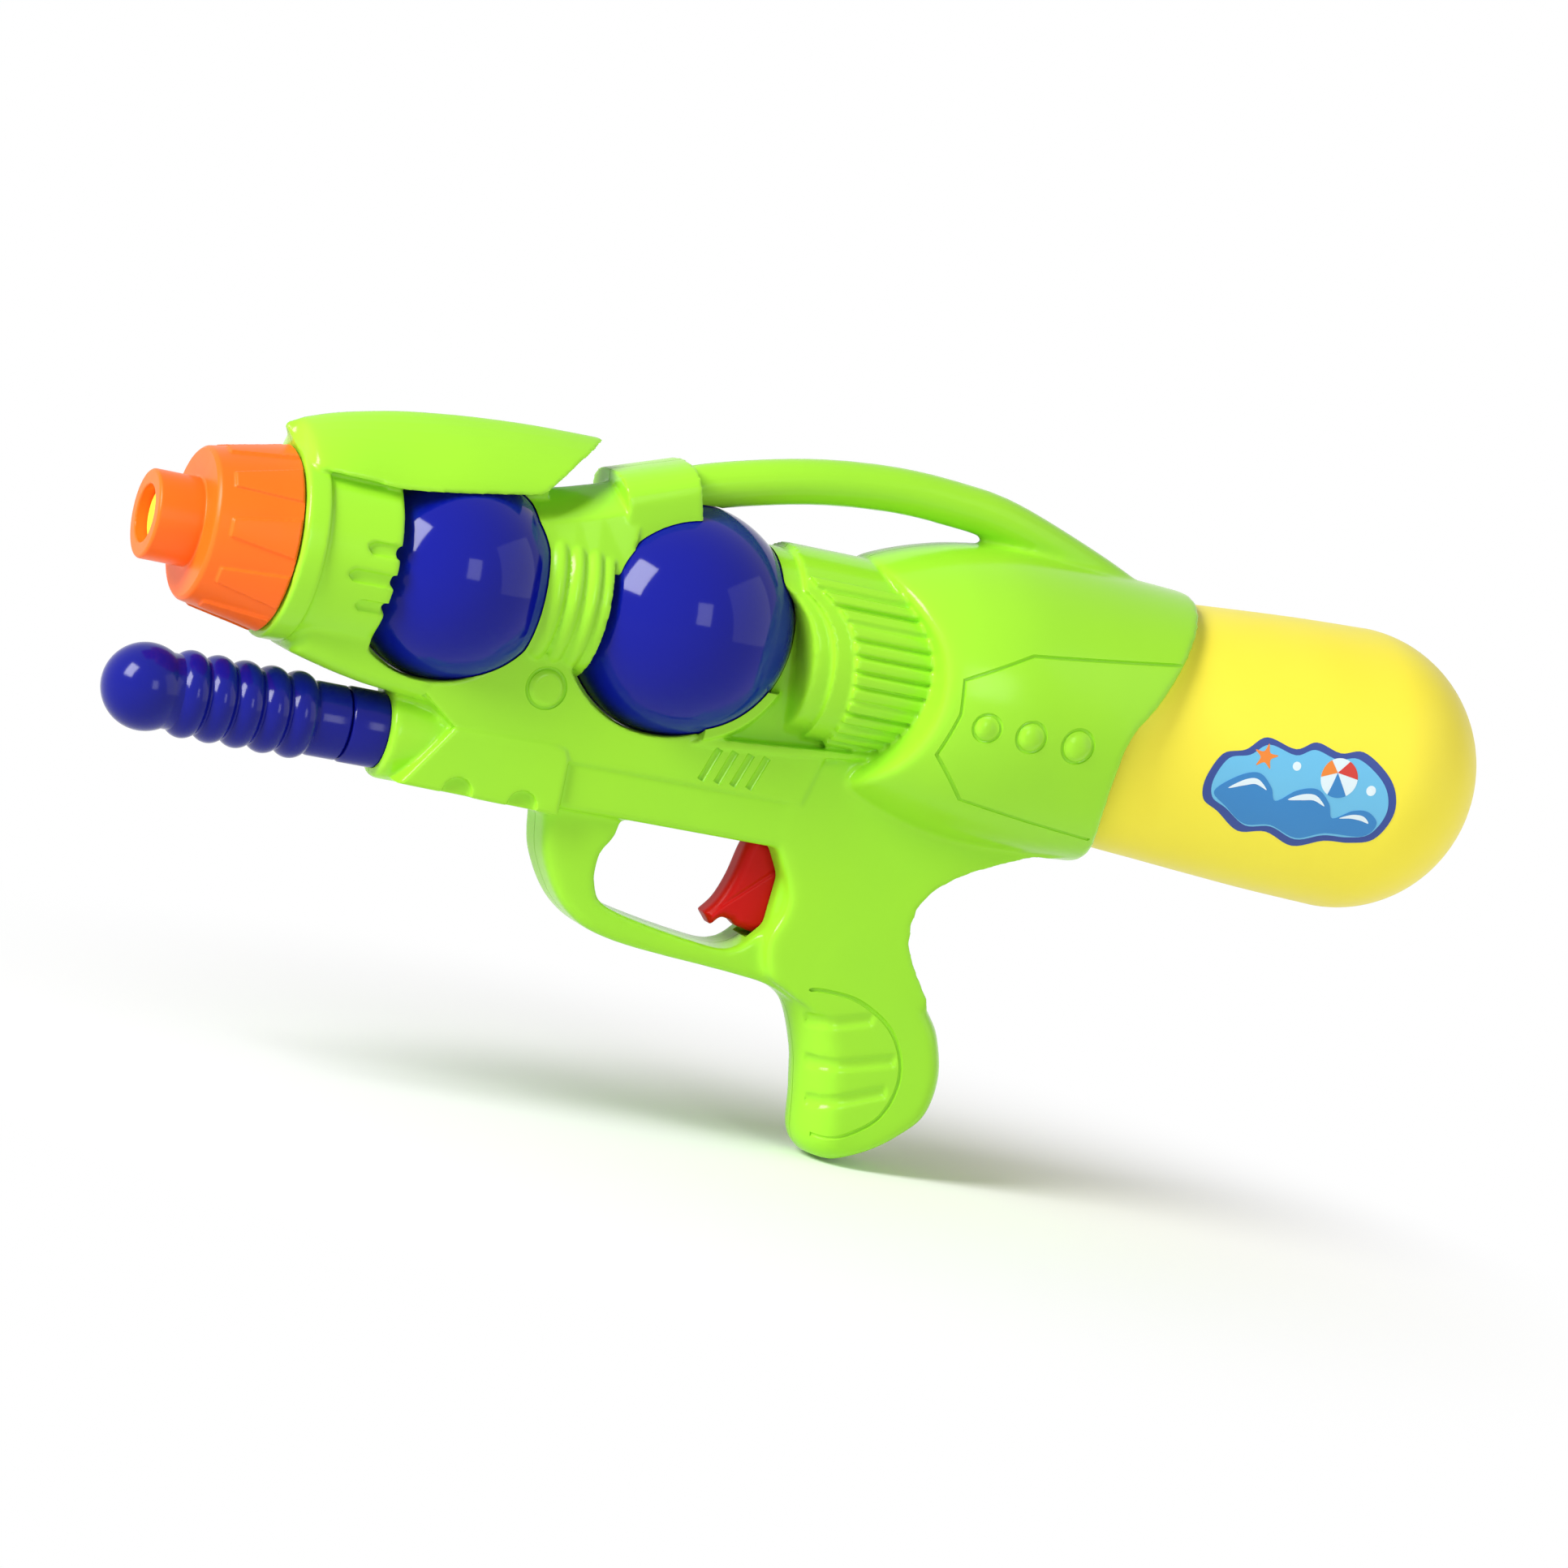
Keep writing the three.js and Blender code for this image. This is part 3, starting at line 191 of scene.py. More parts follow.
def plate(points, half, rounding=0.0, segments=4, centre=0.0):
    """An outline in X and Z given a thickness across Y, its long edges rounded."""
    bm = bmesh.new()
    face = bm.faces.new([bm.verts.new((p[0], centre - half, p[1])) for p in points])
    grown = bmesh.ops.extrude_face_region(bm, geom=[face])
    moved = [v for v in grown["geom"] if isinstance(v, bmesh.types.BMVert)]
    bmesh.ops.translate(bm, verts=moved, vec=(0, 2 * half, 0))
    bmesh.ops.recalc_face_normals(bm, faces=bm.faces)
    if rounding:
        rims = [e for e in bm.edges if abs(e.verts[0].co.y - e.verts[1].co.y) < 1e-6]
        round_over(bm, rims, rounding, segments)
    return solid(bm)


def block(low, high, rounding=0.0):
    """A box between two corners, its edges rounded."""
    low, high = Vector(low), Vector(high)
    bm = bmesh.new()
    place = Matrix.Translation((low + high) / 2) @ Matrix.Diagonal((*(high - low), 1))
    bmesh.ops.create_cube(bm, size=1, matrix=place)
    if rounding:
        round_over(bm, bm.edges[:], rounding, segments=3)
    return bm


def ball(x, radius, y=0.0, z=0.0, sides=96, squash=1.0):
    """A ball, or one flattened across Y."""
    place = Matrix.Translation((x, y, z)) @ Matrix.Diagonal((1, squash, 1, 1))
    bm = bmesh.new()
    bmesh.ops.create_uvsphere(bm, u_segments=sides, v_segments=sides // 2, radius=radius, matrix=place)
    return bm


def cross_bar(x, z, radius, y0, y1, sides=32):
    """A round bar across the body."""
    place = Matrix.Translation((x, (y0 + y1) / 2, z)) @ Matrix.Rotation(math.pi / 2, 4, "X")
    bm = bmesh.new()
    bmesh.ops.create_cone(
        bm, cap_ends=True, segments=sides, radius1=radius, radius2=radius, depth=abs(y1 - y0), matrix=place
    )
    return bm


def swept(points, radius, sides=32, closed=False):
    """A round bar along a path of points, or a ring if the path is closed."""
    curve = bpy.data.curves.new("path", "CURVE")
    curve.dimensions = "3D"
    curve.bevel_depth = radius
    curve.bevel_resolution = sides // 4
    curve.use_fill_caps = True
    spline = curve.splines.new("POLY")
    spline.points.add(len(points) - 1)
    spline.use_cyclic_u = closed
    for point, place in zip(spline.points, points):
        point.co = (*place, 1)
    bent = bpy.data.objects.new("path", curve)
    bpy.context.scene.collection.objects.link(bent)
    bm = bmesh.new()
    bm.from_mesh(bent.to_mesh())
    bpy.data.objects.remove(bent)
    return solid(bm)


def lofted(sections):
    """A skin over cross-sections, each a station along X and a closed loop of (y, z) points."""
    bm = bmesh.new()
    loops = []
    for x, points in sections:
        verts = [bm.verts.new((x, y, z)) for y, z in points]
        loops.append([bm.edges.new(pair) for pair in zip(verts, verts[1:] + verts[:1])])
    for a, b in zip(loops, loops[1:]):
        bmesh.ops.bridge_loops(bm, edges=a + b)
    bmesh.ops.holes_fill(bm, edges=bm.edges)
    return solid(bm)


def mirrored(flank):
    """A whole section from its one flank."""
    return flank + [(-y, z) for y, z in reversed(flank)]


def gable(half, low, eave, ridge, foot=0.0, bulge=1.4):
    """A roof-like section: sides that may spread at the foot, and a roof bulging from eaves to ridge."""
    power = 2 / bulge
    roof = [(half * math.cos(a) ** power, eave + (ridge - eave) * math.sin(a) ** power) for a in QUARTER]
    return mirrored([(half + foot, low), (half, eave), *roof])


def placed(bm, matrix):
    """The shape after a move, turn or lean."""
    bmesh.ops.transform(bm, matrix=matrix, verts=bm.verts)
    return bm


def raised_by(degrees, side):
    """The turn about the barrel that lifts something on the left (-1) or right (1) side by an angle."""
    return Matrix.Rotation(side * math.radians(degrees), 4, "X")


def heap(*shapes):
    """Several shapes in one mesh, overlapping as they lie."""
    bm = bmesh.new()
    for shape in shapes:
        part = bpy.data.meshes.new("part")
        shape.to_mesh(part)
        bm.from_mesh(part)
        bpy.data.meshes.remove(part)
    return bm


def as_object(bm, name):
    """A shape as an object of the scene."""
    mesh = bpy.data.meshes.new(name)
    bm.to_mesh(mesh)
    made = bpy.data.objects.new(name, mesh)
    bpy.context.scene.collection.objects.link(made)
    return made


def worked(bm, *steps):
    """The shape after a row of modifiers, each given as its kind and settings."""
    made = as_object(bm, "worked")
    tools = []
    for kind, settings in steps:
        step = made.modifiers.new(kind, kind)
        for key, value in settings.items():
            if isinstance(value, bmesh.types.BMesh):
                value = as_object(value, "tool")
                tools.append(value)
            setattr(step, key, value)
    graph = bpy.context.evaluated_depsgraph_get()
    out = bmesh.new()
    out.from_mesh(made.evaluated_get(graph).to_mesh())
    for o in [made, *tools]:
        bpy.data.objects.remove(o)
    return out


def softened(bm, voxel, rounds):
    """One skin over a heap of shapes, its edges and corners eased as in a moulding."""
    return worked(
        bm,
        ("REMESH", {"mode": "VOXEL", "voxel_size": voxel}),
        ("SMOOTH", {"factor": 0.5, "iterations": rounds}),
    )


def boolean(operation, tool):
    """The modifier that works one shape with another."""
    return "BOOLEAN", {"operation": operation, "solver": "MANIFOLD", "object": tool}


def cut(bm, *tools):
    """The shape less all the tools."""
    return worked(bm, *[boolean("DIFFERENCE", tool) for tool in tools])


def common(bm, tool):
    """The part of the shape that lies in the tool."""
    return worked(bm, boolean("INTERSECT", tool))


def fused(bm, tool):
    """Both shapes as one solid."""
    return worked(bm, boolean("UNION", tool))


def thinned(bm, triangles):
    """Fewer faces where the surface is plain."""
    bmesh.ops.triangulate(bm, faces=bm.faces)
    ratio = min(1.0, triangles / len(bm.faces))
    return worked(bm, ("DECIMATE", {"ratio": ratio}))


def piece(bm, name, body, material, nodes=()):
    """A finished piece in the model's frame: it rides on a body and stands for the CAD nodes it replaces."""
    bmesh.ops.transform(bm, matrix=TO_MODEL, verts=bm.verts)
    made = as_object(bm, name)
    made.data.shade_smooth()
    made.data.set_sharp_from_angle(angle=CREASE)
    made.data.materials.append(material)
    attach(made, body)
    if nodes:
        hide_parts(*nodes)
    return made


# Materials

# Patterns in the plastic, in millimetres: patches of wall that cooled unevenly, marks from handling, and the
# ripple of the moulded skin. The real ripple is too fine to show, so it is drawn this coarse.
DRIFT_MM, SCUFF_MM, RIPPLE_MM = 45, 7, 0.9
RIPPLE_DEPTH = 0.0002

# The colour sockets of a mix node: two to go in and one to come out
MIX_A, MIX_B, MIX_RESULT = 6, 7, 2


def linear(code):
    """An sRGB hex colour as linear light."""
    parts = [int(code[i : i + 2], 16) / 255 for i in (1, 3, 5)]
    return (*[c / 12.92 if c <= 0.04045 else ((c + 0.055) / 1.055) ** 2.4 for c in parts], 1)


def node(tree, kind, links=None, **settings):
    """Adds a node: settings are its properties or input values, links its inputs and what feeds them."""
    made = tree.nodes.new(kind)
    for key, value in settings.items():
        if key in made.inputs:
            made.inputs[key].default_value = value
        else:
            setattr(made, key, value)
    for socket, source in (links or {}).items():
        tree.links.new(source, made.inputs[socket])
    return made


def moulded(name, colour, shade, roughness, grain=0.02, **shader):
    """Moulded plastic: a hue that drifts a little from place to place, and a faint ripple in the highlights."""
    material = bpy.data.materials.new(name)
    material.use_nodes = True
    tree = material.node_tree
    surface = tree.nodes["Principled BSDF"]
    place = node(tree, "ShaderNodeTexCoord").outputs["Object"]
    drift = node(tree, "ShaderNodeTexNoise", {"Vector": place}, Scale=1000 / DRIFT_MM, Detail=2.0)
    spread = node(tree, "ShaderNodeMapRange", {"Value": drift.outputs["Fac"]})
    spread.inputs["From Min"].default_value = 0.3
    spread.inputs["From Max"].default_value = 0.7
    hue = node(tree, "ShaderNodeMix", {"Factor": spread.outputs["Result"]}, data_type="RGBA")
    hue.inputs[MIX_A].default_value = linear(colour)
    hue.inputs[MIX_B].default_value = linear(shade)
    tree.links.new(hue.outputs[MIX_RESULT], surface.inputs["Base Color"])
    scuff = node(tree, "ShaderNodeTexNoise", {"Vector": place}, Scale=1000 / SCUFF_MM, Detail=4.0)
    matt = node(tree, "ShaderNodeMapRange", {"Value": scuff.outputs["Fac"]})
    matt.inputs["To Min"].default_value = roughness * 0.85
    matt.inputs["To Max"].default_value = roughness * 1.2
    tree.links.new(matt.outputs["Result"], surface.inputs["Roughness"])
    ripple = node(tree, "ShaderNodeTexNoise", {"Vector": place}, Scale=1000 / RIPPLE_MM, Detail=1.0)
    bump = node(tree, "ShaderNodeBump", {"Height": ripple.outputs["Fac"]}, Strength=grain)
    bump.inputs["Distance"].default_value = RIPPLE_DEPTH
    tree.links.new(bump.outputs["Normal"], surface.inputs["Normal"])
    for key, value in shader.items():
        surface.inputs[key.replace("_", " ")].default_value = value
    return material


# Shells: bright satin plastic, whose soft broad highlights show the moulded curves
GREEN = moulded("green_abs", "#9fe22e", "#9ade30", 0.2, IOR=1.53, Specular_IOR_Level=0.22)
# Balls: deep blue with a polished skin, so that windows stand in it with clear edges
BLUE = moulded("blue_abs", "#050f8b", "#071188", 0.08, grain=0.004, IOR=1.54, Specular_IOR_Level=0.18)
# Pump: a shade darker than the balls and less polished, so that each ring carries a short streak of light
PUMP_BLUE = moulded("pump_blue_abs", "#070f7c", "#0a127e", 0.14, IOR=1.53, Specular_IOR_Level=0.2)
# Nozzle cone: strong orange with a dull sheen, so that the wedges show by their edges and not by glare
ORANGE = moulded("orange_abs", "#fb6f1a", "#f96a18", 0.34, IOR=1.53, Specular_IOR_Level=0.2)
# Tank and jet: waxy yellow, with a wide glow of light and no clear reflection
YELLOW = moulded("yellow_blown_polyethylene", "#fdee48", "#fbe942", 0.36, IOR=1.51, Specular_IOR_Level=0.2)
# Trigger: deep red that shines little, so that the crease in its side reads as a thin dark line
RED = moulded("red_abs", "#cc130f", "#c4110d", 0.34, IOR=1.53, Specular_IOR_Level=0.12)
# Pump and valve parts inside: off-white and soft-looking, with hardly a highlight
WHITE = moulded("white_polypropylene", "#e9e9e4", "#e4e4de", 0.45, IOR=1.49)
# Hoses inside: pale and smooth, drawn without seeing through because they lie in the dark of the body
HOSE = moulded("clear_pvc_hose", "#dfe6e6", "#d6dede", 0.3, IOR=1.53)
# Seals: near black and dull, so that they read as soft rings between the hard parts
RUBBER = moulded("black_nitrile_rubber", "#2b2b2d", "#262628", 0.7, IOR=1.5)
# Screws, pin and spring: grey metal, a bright glint deep in each screw recess
STEEL = moulded("zinc_plated_steel", "#b9bcc0", "#adb0b5", 0.3, Metallic=1.0)
# Sticker: flat printed inks under a smooth film, a little shinier than the tank they lie on
FILM_NAVY = moulded("printed_film_navy", "#2b4796", "#28438f", 0.25, IOR=1.5)
FILM_BLUE = moulded("printed_film_blue", "#2f84c6", "#2b7dc0", 0.25, IOR=1.5)
FILM_SKY = moulded("printed_film_sky", "#6cc0e8", "#63b8e3", 0.25, IOR=1.5)
FILM_PALE = moulded("printed_film_pale", "#e4f2f7", "#d9edf5", 0.25, IOR=1.5)
FILM_RED = moulded("printed_film_red", "#d6382d", "#cc3228", 0.25, IOR=1.5)
FILM_ORANGE = moulded("printed_film_orange", "#f0892e", "#ea8029", 0.25, IOR=1.5)

FINISHES = {
    "green_abs": GREEN,
    "blue_abs": BLUE,
    "pump_blue_abs": PUMP_BLUE,
    "orange_abs": ORANGE,
    "yellow_plastic": YELLOW,
    "red_abs": RED,
    "white_plastic": WHITE,
    "clear_hose": HOSE,
    "black_rubber": RUBBER,
    "steel": STEEL,
}
for subpart in frame["record"]["subparts"]:
    shown = frame["nodes"][subpart["node"]]
    shown.data.materials.clear()
    shown.data.materials.append(FINISHES[subpart["material_slot"]])


# Body: main volumes, softened together

def down(points):
    """Points whose heights are given from the receiver's lower edge."""
    return [(x, RECEIVER_Z + z) for x, z in points]


SLEEVE_CURVE = curve_through(
    [
        (SLEEVE_FRONT, 25.8), (9, 29.2), (16, 32.1), (23, 34.3), (31, 36.2), (44, 37.8), (62, 37.5), (82, 36.4),
        (SLEEVE_REAR, 35.2),
    ]
)


def on_sleeve(x, z, side, proud=0.0):
    """The point of the sleeve's side at a place seen from the side."""
    radius = next(
        a[1] + (b[1] - a[1]) * (x - a[0]) / (b[0] - a[0])
        for a, b in zip(SLEEVE_CURVE, SLEEVE_CURVE[1:])
        if x <= b[0]
    )
    return Vector((x, side * (math.sqrt(radius**2 - (z - TANK_Z) ** 2) + proud), z))


sleeve_rear = outline(
    (140, 60), (101, 60), (101, 38),
    [(95, 30), (85.7, 16), (78.3, 4.5), (72.6, -4), (71.4, -15), (73.6, -26), (77.6, -35), (83, -46)],
    (83, -60), (140, -60),
)
sleeve_front = outline(
    (-20, 60), (1, 60), (2, 28),
    [(8.6, 21.3), (14.5, 15), (19.5, 8), (21.5, -1), (20.8, -10), (17.5, -20), (12, -28), (6, -34)],
    (0, -60), (-20, -60),
)
sleeve_side = [(SLEEVE_FRONT, 0.0), *[tuple(p) for p in SLEEVE_CURVE], (SLEEVE_REAR, 0.0)]
sleeve = turned(sleeve_side, sides=128, z=TANK_Z)
sleeve = softened(cut(sleeve, plate(sleeve_front, half=60)), COARSE, rounds=24)
sleeve = softened(cut(sleeve, plate(sleeve_rear, half=60)), COARSE, rounds=6)

# Edge of the drum's ribs, leaning back from the top; the band and the plain front of the drum run along it
RIB_EDGE = [
    (-15, 21), (-11.9, 16.7), (-6.1, 12.6), (-1.6, 7.2), (0.9, -0.6), (2.3, -10.2), (2.9, -19), (3, -30),
]


def behind_edge(forward):
    """All that lies behind the ribs' edge, or behind a line that far in front of it."""
    edge = [(x - forward, z) for x, z in RIB_EDGE]
    return plate(outline((40, 40), (-18 - forward, 30), edge, (40, -40)), half=40)


barrel = rod(COLLAR + 2, BARREL_RIM, BARREL_RADIUS, sides=96)
drum = common(rod(-30, 30, DRUM_RADIUS, sides=96), behind_edge(DRUM_PLAIN))
drum_core = plate([(-36, 10), (-36, -28), (24, -28), (24, 10)], half=9)
pump_tube = rod(PUMP_FRONT, WAIST_RIM + 4, PUMP_TUBE_RADIUS, z=PUMP_Z)
chin = plate(
    outline(
        (COLLAR + 7, -12), (COLLAR + 7, -24.9), [(COLLAR + 18, -27.5), (COLLAR + 27, -29.1)],
        (FRONT_BALL[0], -30.9), (FRONT_BALL[0], -12),
    ),
    half=13.5, rounding=5,
)
keel_line = outline(
    (PUMP_FRONT + 3, -20), (PUMP_FRONT + 5, -28), (-92.6, -34.9), (-88, -38), (0.4, -38), (3.8, -25),
    (-28, -26.6), (WAIST_RIM, -13), (FRONT_BALL[0] + 16, -13),
)
keel_core = plate(keel_line, half=KEEL_HALF - 1, rounding=0.8)
receiver = plate(
    outline((WAIST_RIM, -37.6), (WAIST_RIM, RECEIVER_Z), (14, RECEIVER_Z), (22, -37.6)),
    half=RECEIVER_HALF - 0.4, rounding=1.6,
)
guard_frame = plate(
    outline(
        (WAIST_RIM + 0.2, RECEIVER_Z + 6), (WAIST_RIM + 0.2, RECEIVER_Z - 2),
        down([(-60, -13.6), (-51.4, -25), (-37.6, -30.4), (-6, -33.2), (6, -34.8), (16, -39)]),
        (34, RECEIVER_Z - 38), (34, RECEIVER_Z + 6),
    ),
    half=8.5, rounding=2.5,
)
guard_gap = plate(
    outline(
        (-43, RECEIVER_Z),
        down([(-44, -5), (-46.6, -10), (-46, -17.4), (-40.5, -22.6), (-16, -27), (-6, -26.6), (1, -20)]),
        (2, RECEIVER_Z),
    ),
    half=30,
)
guard = cut(guard_frame, guard_gap)
grip_root = plate(
    outline(
        (20, -19.7), (0, -26.8), (-4, -37.4), (-4, -45), (-2.6, RECEIVER_Z),
        down([(2.4, -9), (3, -15), (0.5, -23), (3, -31.4), (9, -34.8)]),
        (20, RECEIVER_Z - 40), (48, RECEIVER_Z - 33),
        down([(41, -23.6), (37.4, -16), (38.5, -7), (48, 1.8), (69, 11), (78, 13.5)]),
        (70, RECEIVER_Z + 30),
    ),
    half=GRIP_HALF - 0.1, rounding=2.0,
)

# Grip: sections from the receiver down to the round toe, each with its drop, front, rear and half width.
# Front and rear are rounded over the nose and heel lengths, or a share of the section where it is short.
NOSE, HEEL = 9.0, 6.0
NOSE_SHARE, HEEL_SHARE = 0.58, 0.38
GRIP_RUN = curve_through(
    [
        (-14, 14, 37.5, GRIP_HALF), (-22, 9, 40, GRIP_HALF), (-30, 6.6, 46.8, GRIP_HALF),
        (-35, 9.4, 51.2, GRIP_HALF), (-40, 14.2, 54.6, GRIP_HALF), (-50, 18.8, 57.6, GRIP_HALF),
        (-60, 21.2, 56.2, GRIP_HALF), (-66, 22.2, 50.6, GRIP_HALF), (-70, 22.9, 45.4, GRIP_HALF - 0.4),
        (-73, 24.4, 40, GRIP_HALF - 1.6), (-75.2, 27.2, 35, GRIP_HALF - 5),
    ],
    steps=4,
)
grip_skin = []
for drop, front, rear, half in GRIP_RUN:
    nose, heel = min(NOSE, NOSE_SHARE * (rear - front)), min(HEEL, HEEL_SHARE * (rear - front))
    flank = [(half * math.sin(a), front + nose * (1 - math.cos(a))) for a in QUARTER]
    flank += [(half * math.sin(a), rear - heel * (1 - math.cos(a))) for a in reversed(QUARTER)]
    grip_skin.append((-RECEIVER_Z - drop, mirrored(flank)))
# The sections are laid along X and then stood on end, so that they run down the grip
stood_on_end = Matrix(((0, 0, 1, 0), (0, 1, 0, 0), (-1, 0, 0, 0), (0, 0, 0, 1)))
grip = placed(lofted(grip_skin), stood_on_end)
bmesh.ops.recalc_face_normals(grip, faces=grip.faces)


def round_the_grip(x, z, side, proud):
    """A point on the grip's side, or on its round front where the point lies ahead of the flat."""
    front = next(
        a[1] + (b[1] - a[1]) * (RECEIVER_Z + a[0] - z) / (a[0] - b[0])
        for a, b in zip(GRIP_RUN, GRIP_RUN[1:])
        if z >= RECEIVER_Z + b[0]
    )
    ahead = min(max((front + NOSE - x) / NOSE, 0), 0.98)
    return Vector((x - proud * ahead, side * (GRIP_HALF + proud) * math.sqrt(1 - ahead**2), z))


# Carry handle: a round bar from the saddle over to the top of the sleeve
arch = swept(
    curve_through(
        [
            (-52, 0, 27.4), (-38, 0, 33.2), (-13, 0, 39.3), (9, 0, 41.8), (27, 0, 41.5),
            (43, 0, SLEEVE_TOP + 5.6), (68, 0, SLEEVE_TOP - 2.4), (84, 0, SLEEVE_TOP - 9),
            (93, 0, SLEEVE_TOP - 14),
        ]
    ),
    radius=5.75,
)
volumes = [barrel, drum, drum_core, sleeve, pump_tube, chin, keel_core, receiver, guard, grip_root, grip, arch]
main = softened(heap(*volumes), COARSE, rounds=8)

# Body: dishes, finger bands and slots sunk into it

# The body falls back round the lower half of each ball, further towards the nozzle
DISH_FORWARD, DISH_WITHIN, DISH_TOP = 5.2, 0.9, -13.5
dishes = []
for (x, radius), start in ((FRONT_BALL, BARREL_RIM), (REAR_BALL, WAIST_RIM - 8)):
    for side in SIDES:
        dish = cross_bar(x - DISH_FORWARD, 0, radius - DISH_WITHIN, side * 2.5, side * 40, sides=96)
        dishes.append(common(dish, block((start, -50, -60), (x + radius, 50, DISH_TOP))))

# Finger bands across the grip, from front to rear, and slots in the barrel, each with its angle and front end
FINGER_BANDS = (((17, -91.6), (33, -87.3)), ((20.3, -101.8), (41.5, -96.7)), ((22.6, -111.4), (41, -104.8)))
BARREL_SLOTS = ((11.5, -127), (-7, -130.4), (-26, -126.6))
SLOT_HALF, SLOT_DEPTH = 1.6, 1.2
sunk = [*dishes]
for side in SIDES:
    for front, rear in FINGER_BANDS:
        band = between([Vector(front), Vector(rear)])
        sunk.append(swept([round_the_grip(x, z, side, 1.8) for x, z in band], radius=2.6))
    for angle, front in BARREL_SLOTS:
        slot = outline(
            (BARREL_RIM + 4, -SLOT_HALF), (front + SLOT_HALF, -SLOT_HALF),
            [(front, 0), (front + SLOT_HALF, SLOT_HALF)], (BARREL_RIM + 4, SLOT_HALF),
        )
        slot = plate(slot, half=5, centre=side * (BARREL_RADIUS - SLOT_DEPTH + 5))
        sunk.append(placed(slot, raised_by(angle, side)))
        notch = cross_bar(BARREL_RIM + 0.6, 0, 1.9, side * 26, side * 17, sides=24)
        sunk.append(placed(notch, raised_by(angle, side)))

# Body: crisp forms that sit on the main volumes

collar = turned(
    [
        (COLLAR, 0), (COLLAR, 23.2), (COLLAR + 0.6, 23.8), (COLLAR + 5.6, 23.8), (COLLAR + 6, 23.4),
        (COLLAR + 6, 0),
    ]
)
# Sight: stations along the barrel, each with its half width, eave and ridge
sight_run = curve_through(
    [
        (-146, 1, 27.2, 27.9), (-144.4, 3, 24.8, 28.7), (-143.2, 7, 22.2, 29.3), (-142.2, 12, 20.7, 29.8),
        (-140.6, 14.6, 20.3, 30.4), (-136, 15.8, 20.1, 32), (-130, 16.3, 20, 33.6), (-119, 16.6, 19.6, 35.9),
        (-106, 16.4, 21.2, 37.6), (-96, 15.8, 22.8, 38.5), (-86, 15, 24.4, 39.1), (-74, 14.2, 26.2, 39.4),
        (-60, 13.4, 27.9, 39.5),
    ],
    steps=4,
)
sight = lofted([(x, gable(half, eave - 0.7, eave, ridge)) for x, half, eave, ridge in sight_run])
sight_tail = [(-66, 40.5), (-76.5, 32), (-85.5, 23), (-85.5, 10), (-40, 10), (-40, 40.5)]
sight = cut(sight, plate(sight_tail, half=40))
spine = plate(
    [(COLLAR + 4, 16), (COLLAR + 4, 25), (-122, 32), (-80, 28), (-80, 14), (BARREL_RIM, 14)], half=6
)
arm_run = [(-90, 15.6, 22.6), (-80.3, 17.9, 24.6), (-73.7, 19.8, 26.3), (-67.6, 21.7, 28.1), (-58, 25, 31.4)]
arm = lofted([(x, gable(12.8, 9, eave, ridge, foot=3, bulge=1.25)) for x, eave, ridge in arm_run])
# Saddle: it leans forward about a line through its middle height
SADDLE_LEAN, SADDLE_MIDDLE = 0.28, 25
leaning = Matrix(
    ((1, 0, -SADDLE_LEAN, SADDLE_LEAN * SADDLE_MIDDLE), (0, 1, 0, 0), (0, 0, 1, 0), (0, 0, 0, 1))
)
saddle_ends = ((-61.8, 24.6, 32.6), (-42, 31.4, 38.6))
saddle = lofted([(x, gable(13.4, 8, eave, top, bulge=2.6)) for x, eave, top in saddle_ends])
saddle = placed(saddle, leaning)
keel = cut(plate(keel_line, half=KEEL_HALF, rounding=0.5), *dishes)
waist_side = [(FRONT_BALL[0], 0), (FRONT_BALL[0], 18.9)]
for middle in (-76.8, -72.2, -67.6):
    rise = [i / 10 for i in range(11)]
    waist_side += [
        (middle - WAIST_RIB / 2 + WAIST_RIB * t, 18.8 + 1.3 * math.sin(math.pi * t) ** 0.8) for t in rise
    ]
waist = turned([*waist_side, (-64.8, 19.6), (WAIST_RIM, 19.6), (WAIST_RIM, 0)])
ledge = plate(
    [(-32, -28), (-29, -26), (14, -22.6), (20, -21), (20, -24), (11, -24.5), (-6.5, -26.4), (-27, -28)],
    half=KEEL_HALF + 0.9, rounding=0.4,
)
cup = common(ball(REAR_BALL[0], REAR_BALL[1] + 2.4), block((-30, -15, -28), (-8, 15, -12)))
pump_panel = outline(
    (-103.6, -50.6), (-92.6, -34.7), [(-80, -34.5), (-67, -34.3)], [(-63.6, -35), (-62, -37.5)],
    (-61.6, -51.4),
)
PANEL_NOTCHES = ((-88.4, -50.2), (-71.4, -50.6))
notches = [cross_bar(x, z, 3.8, side * 11.9, side * 20) for x, z in PANEL_NOTCHES for side in SIDES]
pump_side = cut(plate(pump_panel, half=13.6, rounding=1.0), *notches)
drum_band = common(rod(-14, 30, DRUM_RADIUS + 1.5, sides=96), behind_edge(DRUM_BAND))
ribs = []
for side in SIDES:
    for i in range(-7, 6):
        rib = block((-16, side * 22, -1.3), (30, side * (DRUM_RADIUS + 2.9), 1.3), rounding=0.4)
        ribs.append(placed(rib, raised_by(i * RIB_STEP, side)))
ribs = common(heap(*ribs), behind_edge(0))
raised = [collar, sight, spine, arm, saddle, keel, waist, ledge, cup, pump_side, drum_band, ribs]
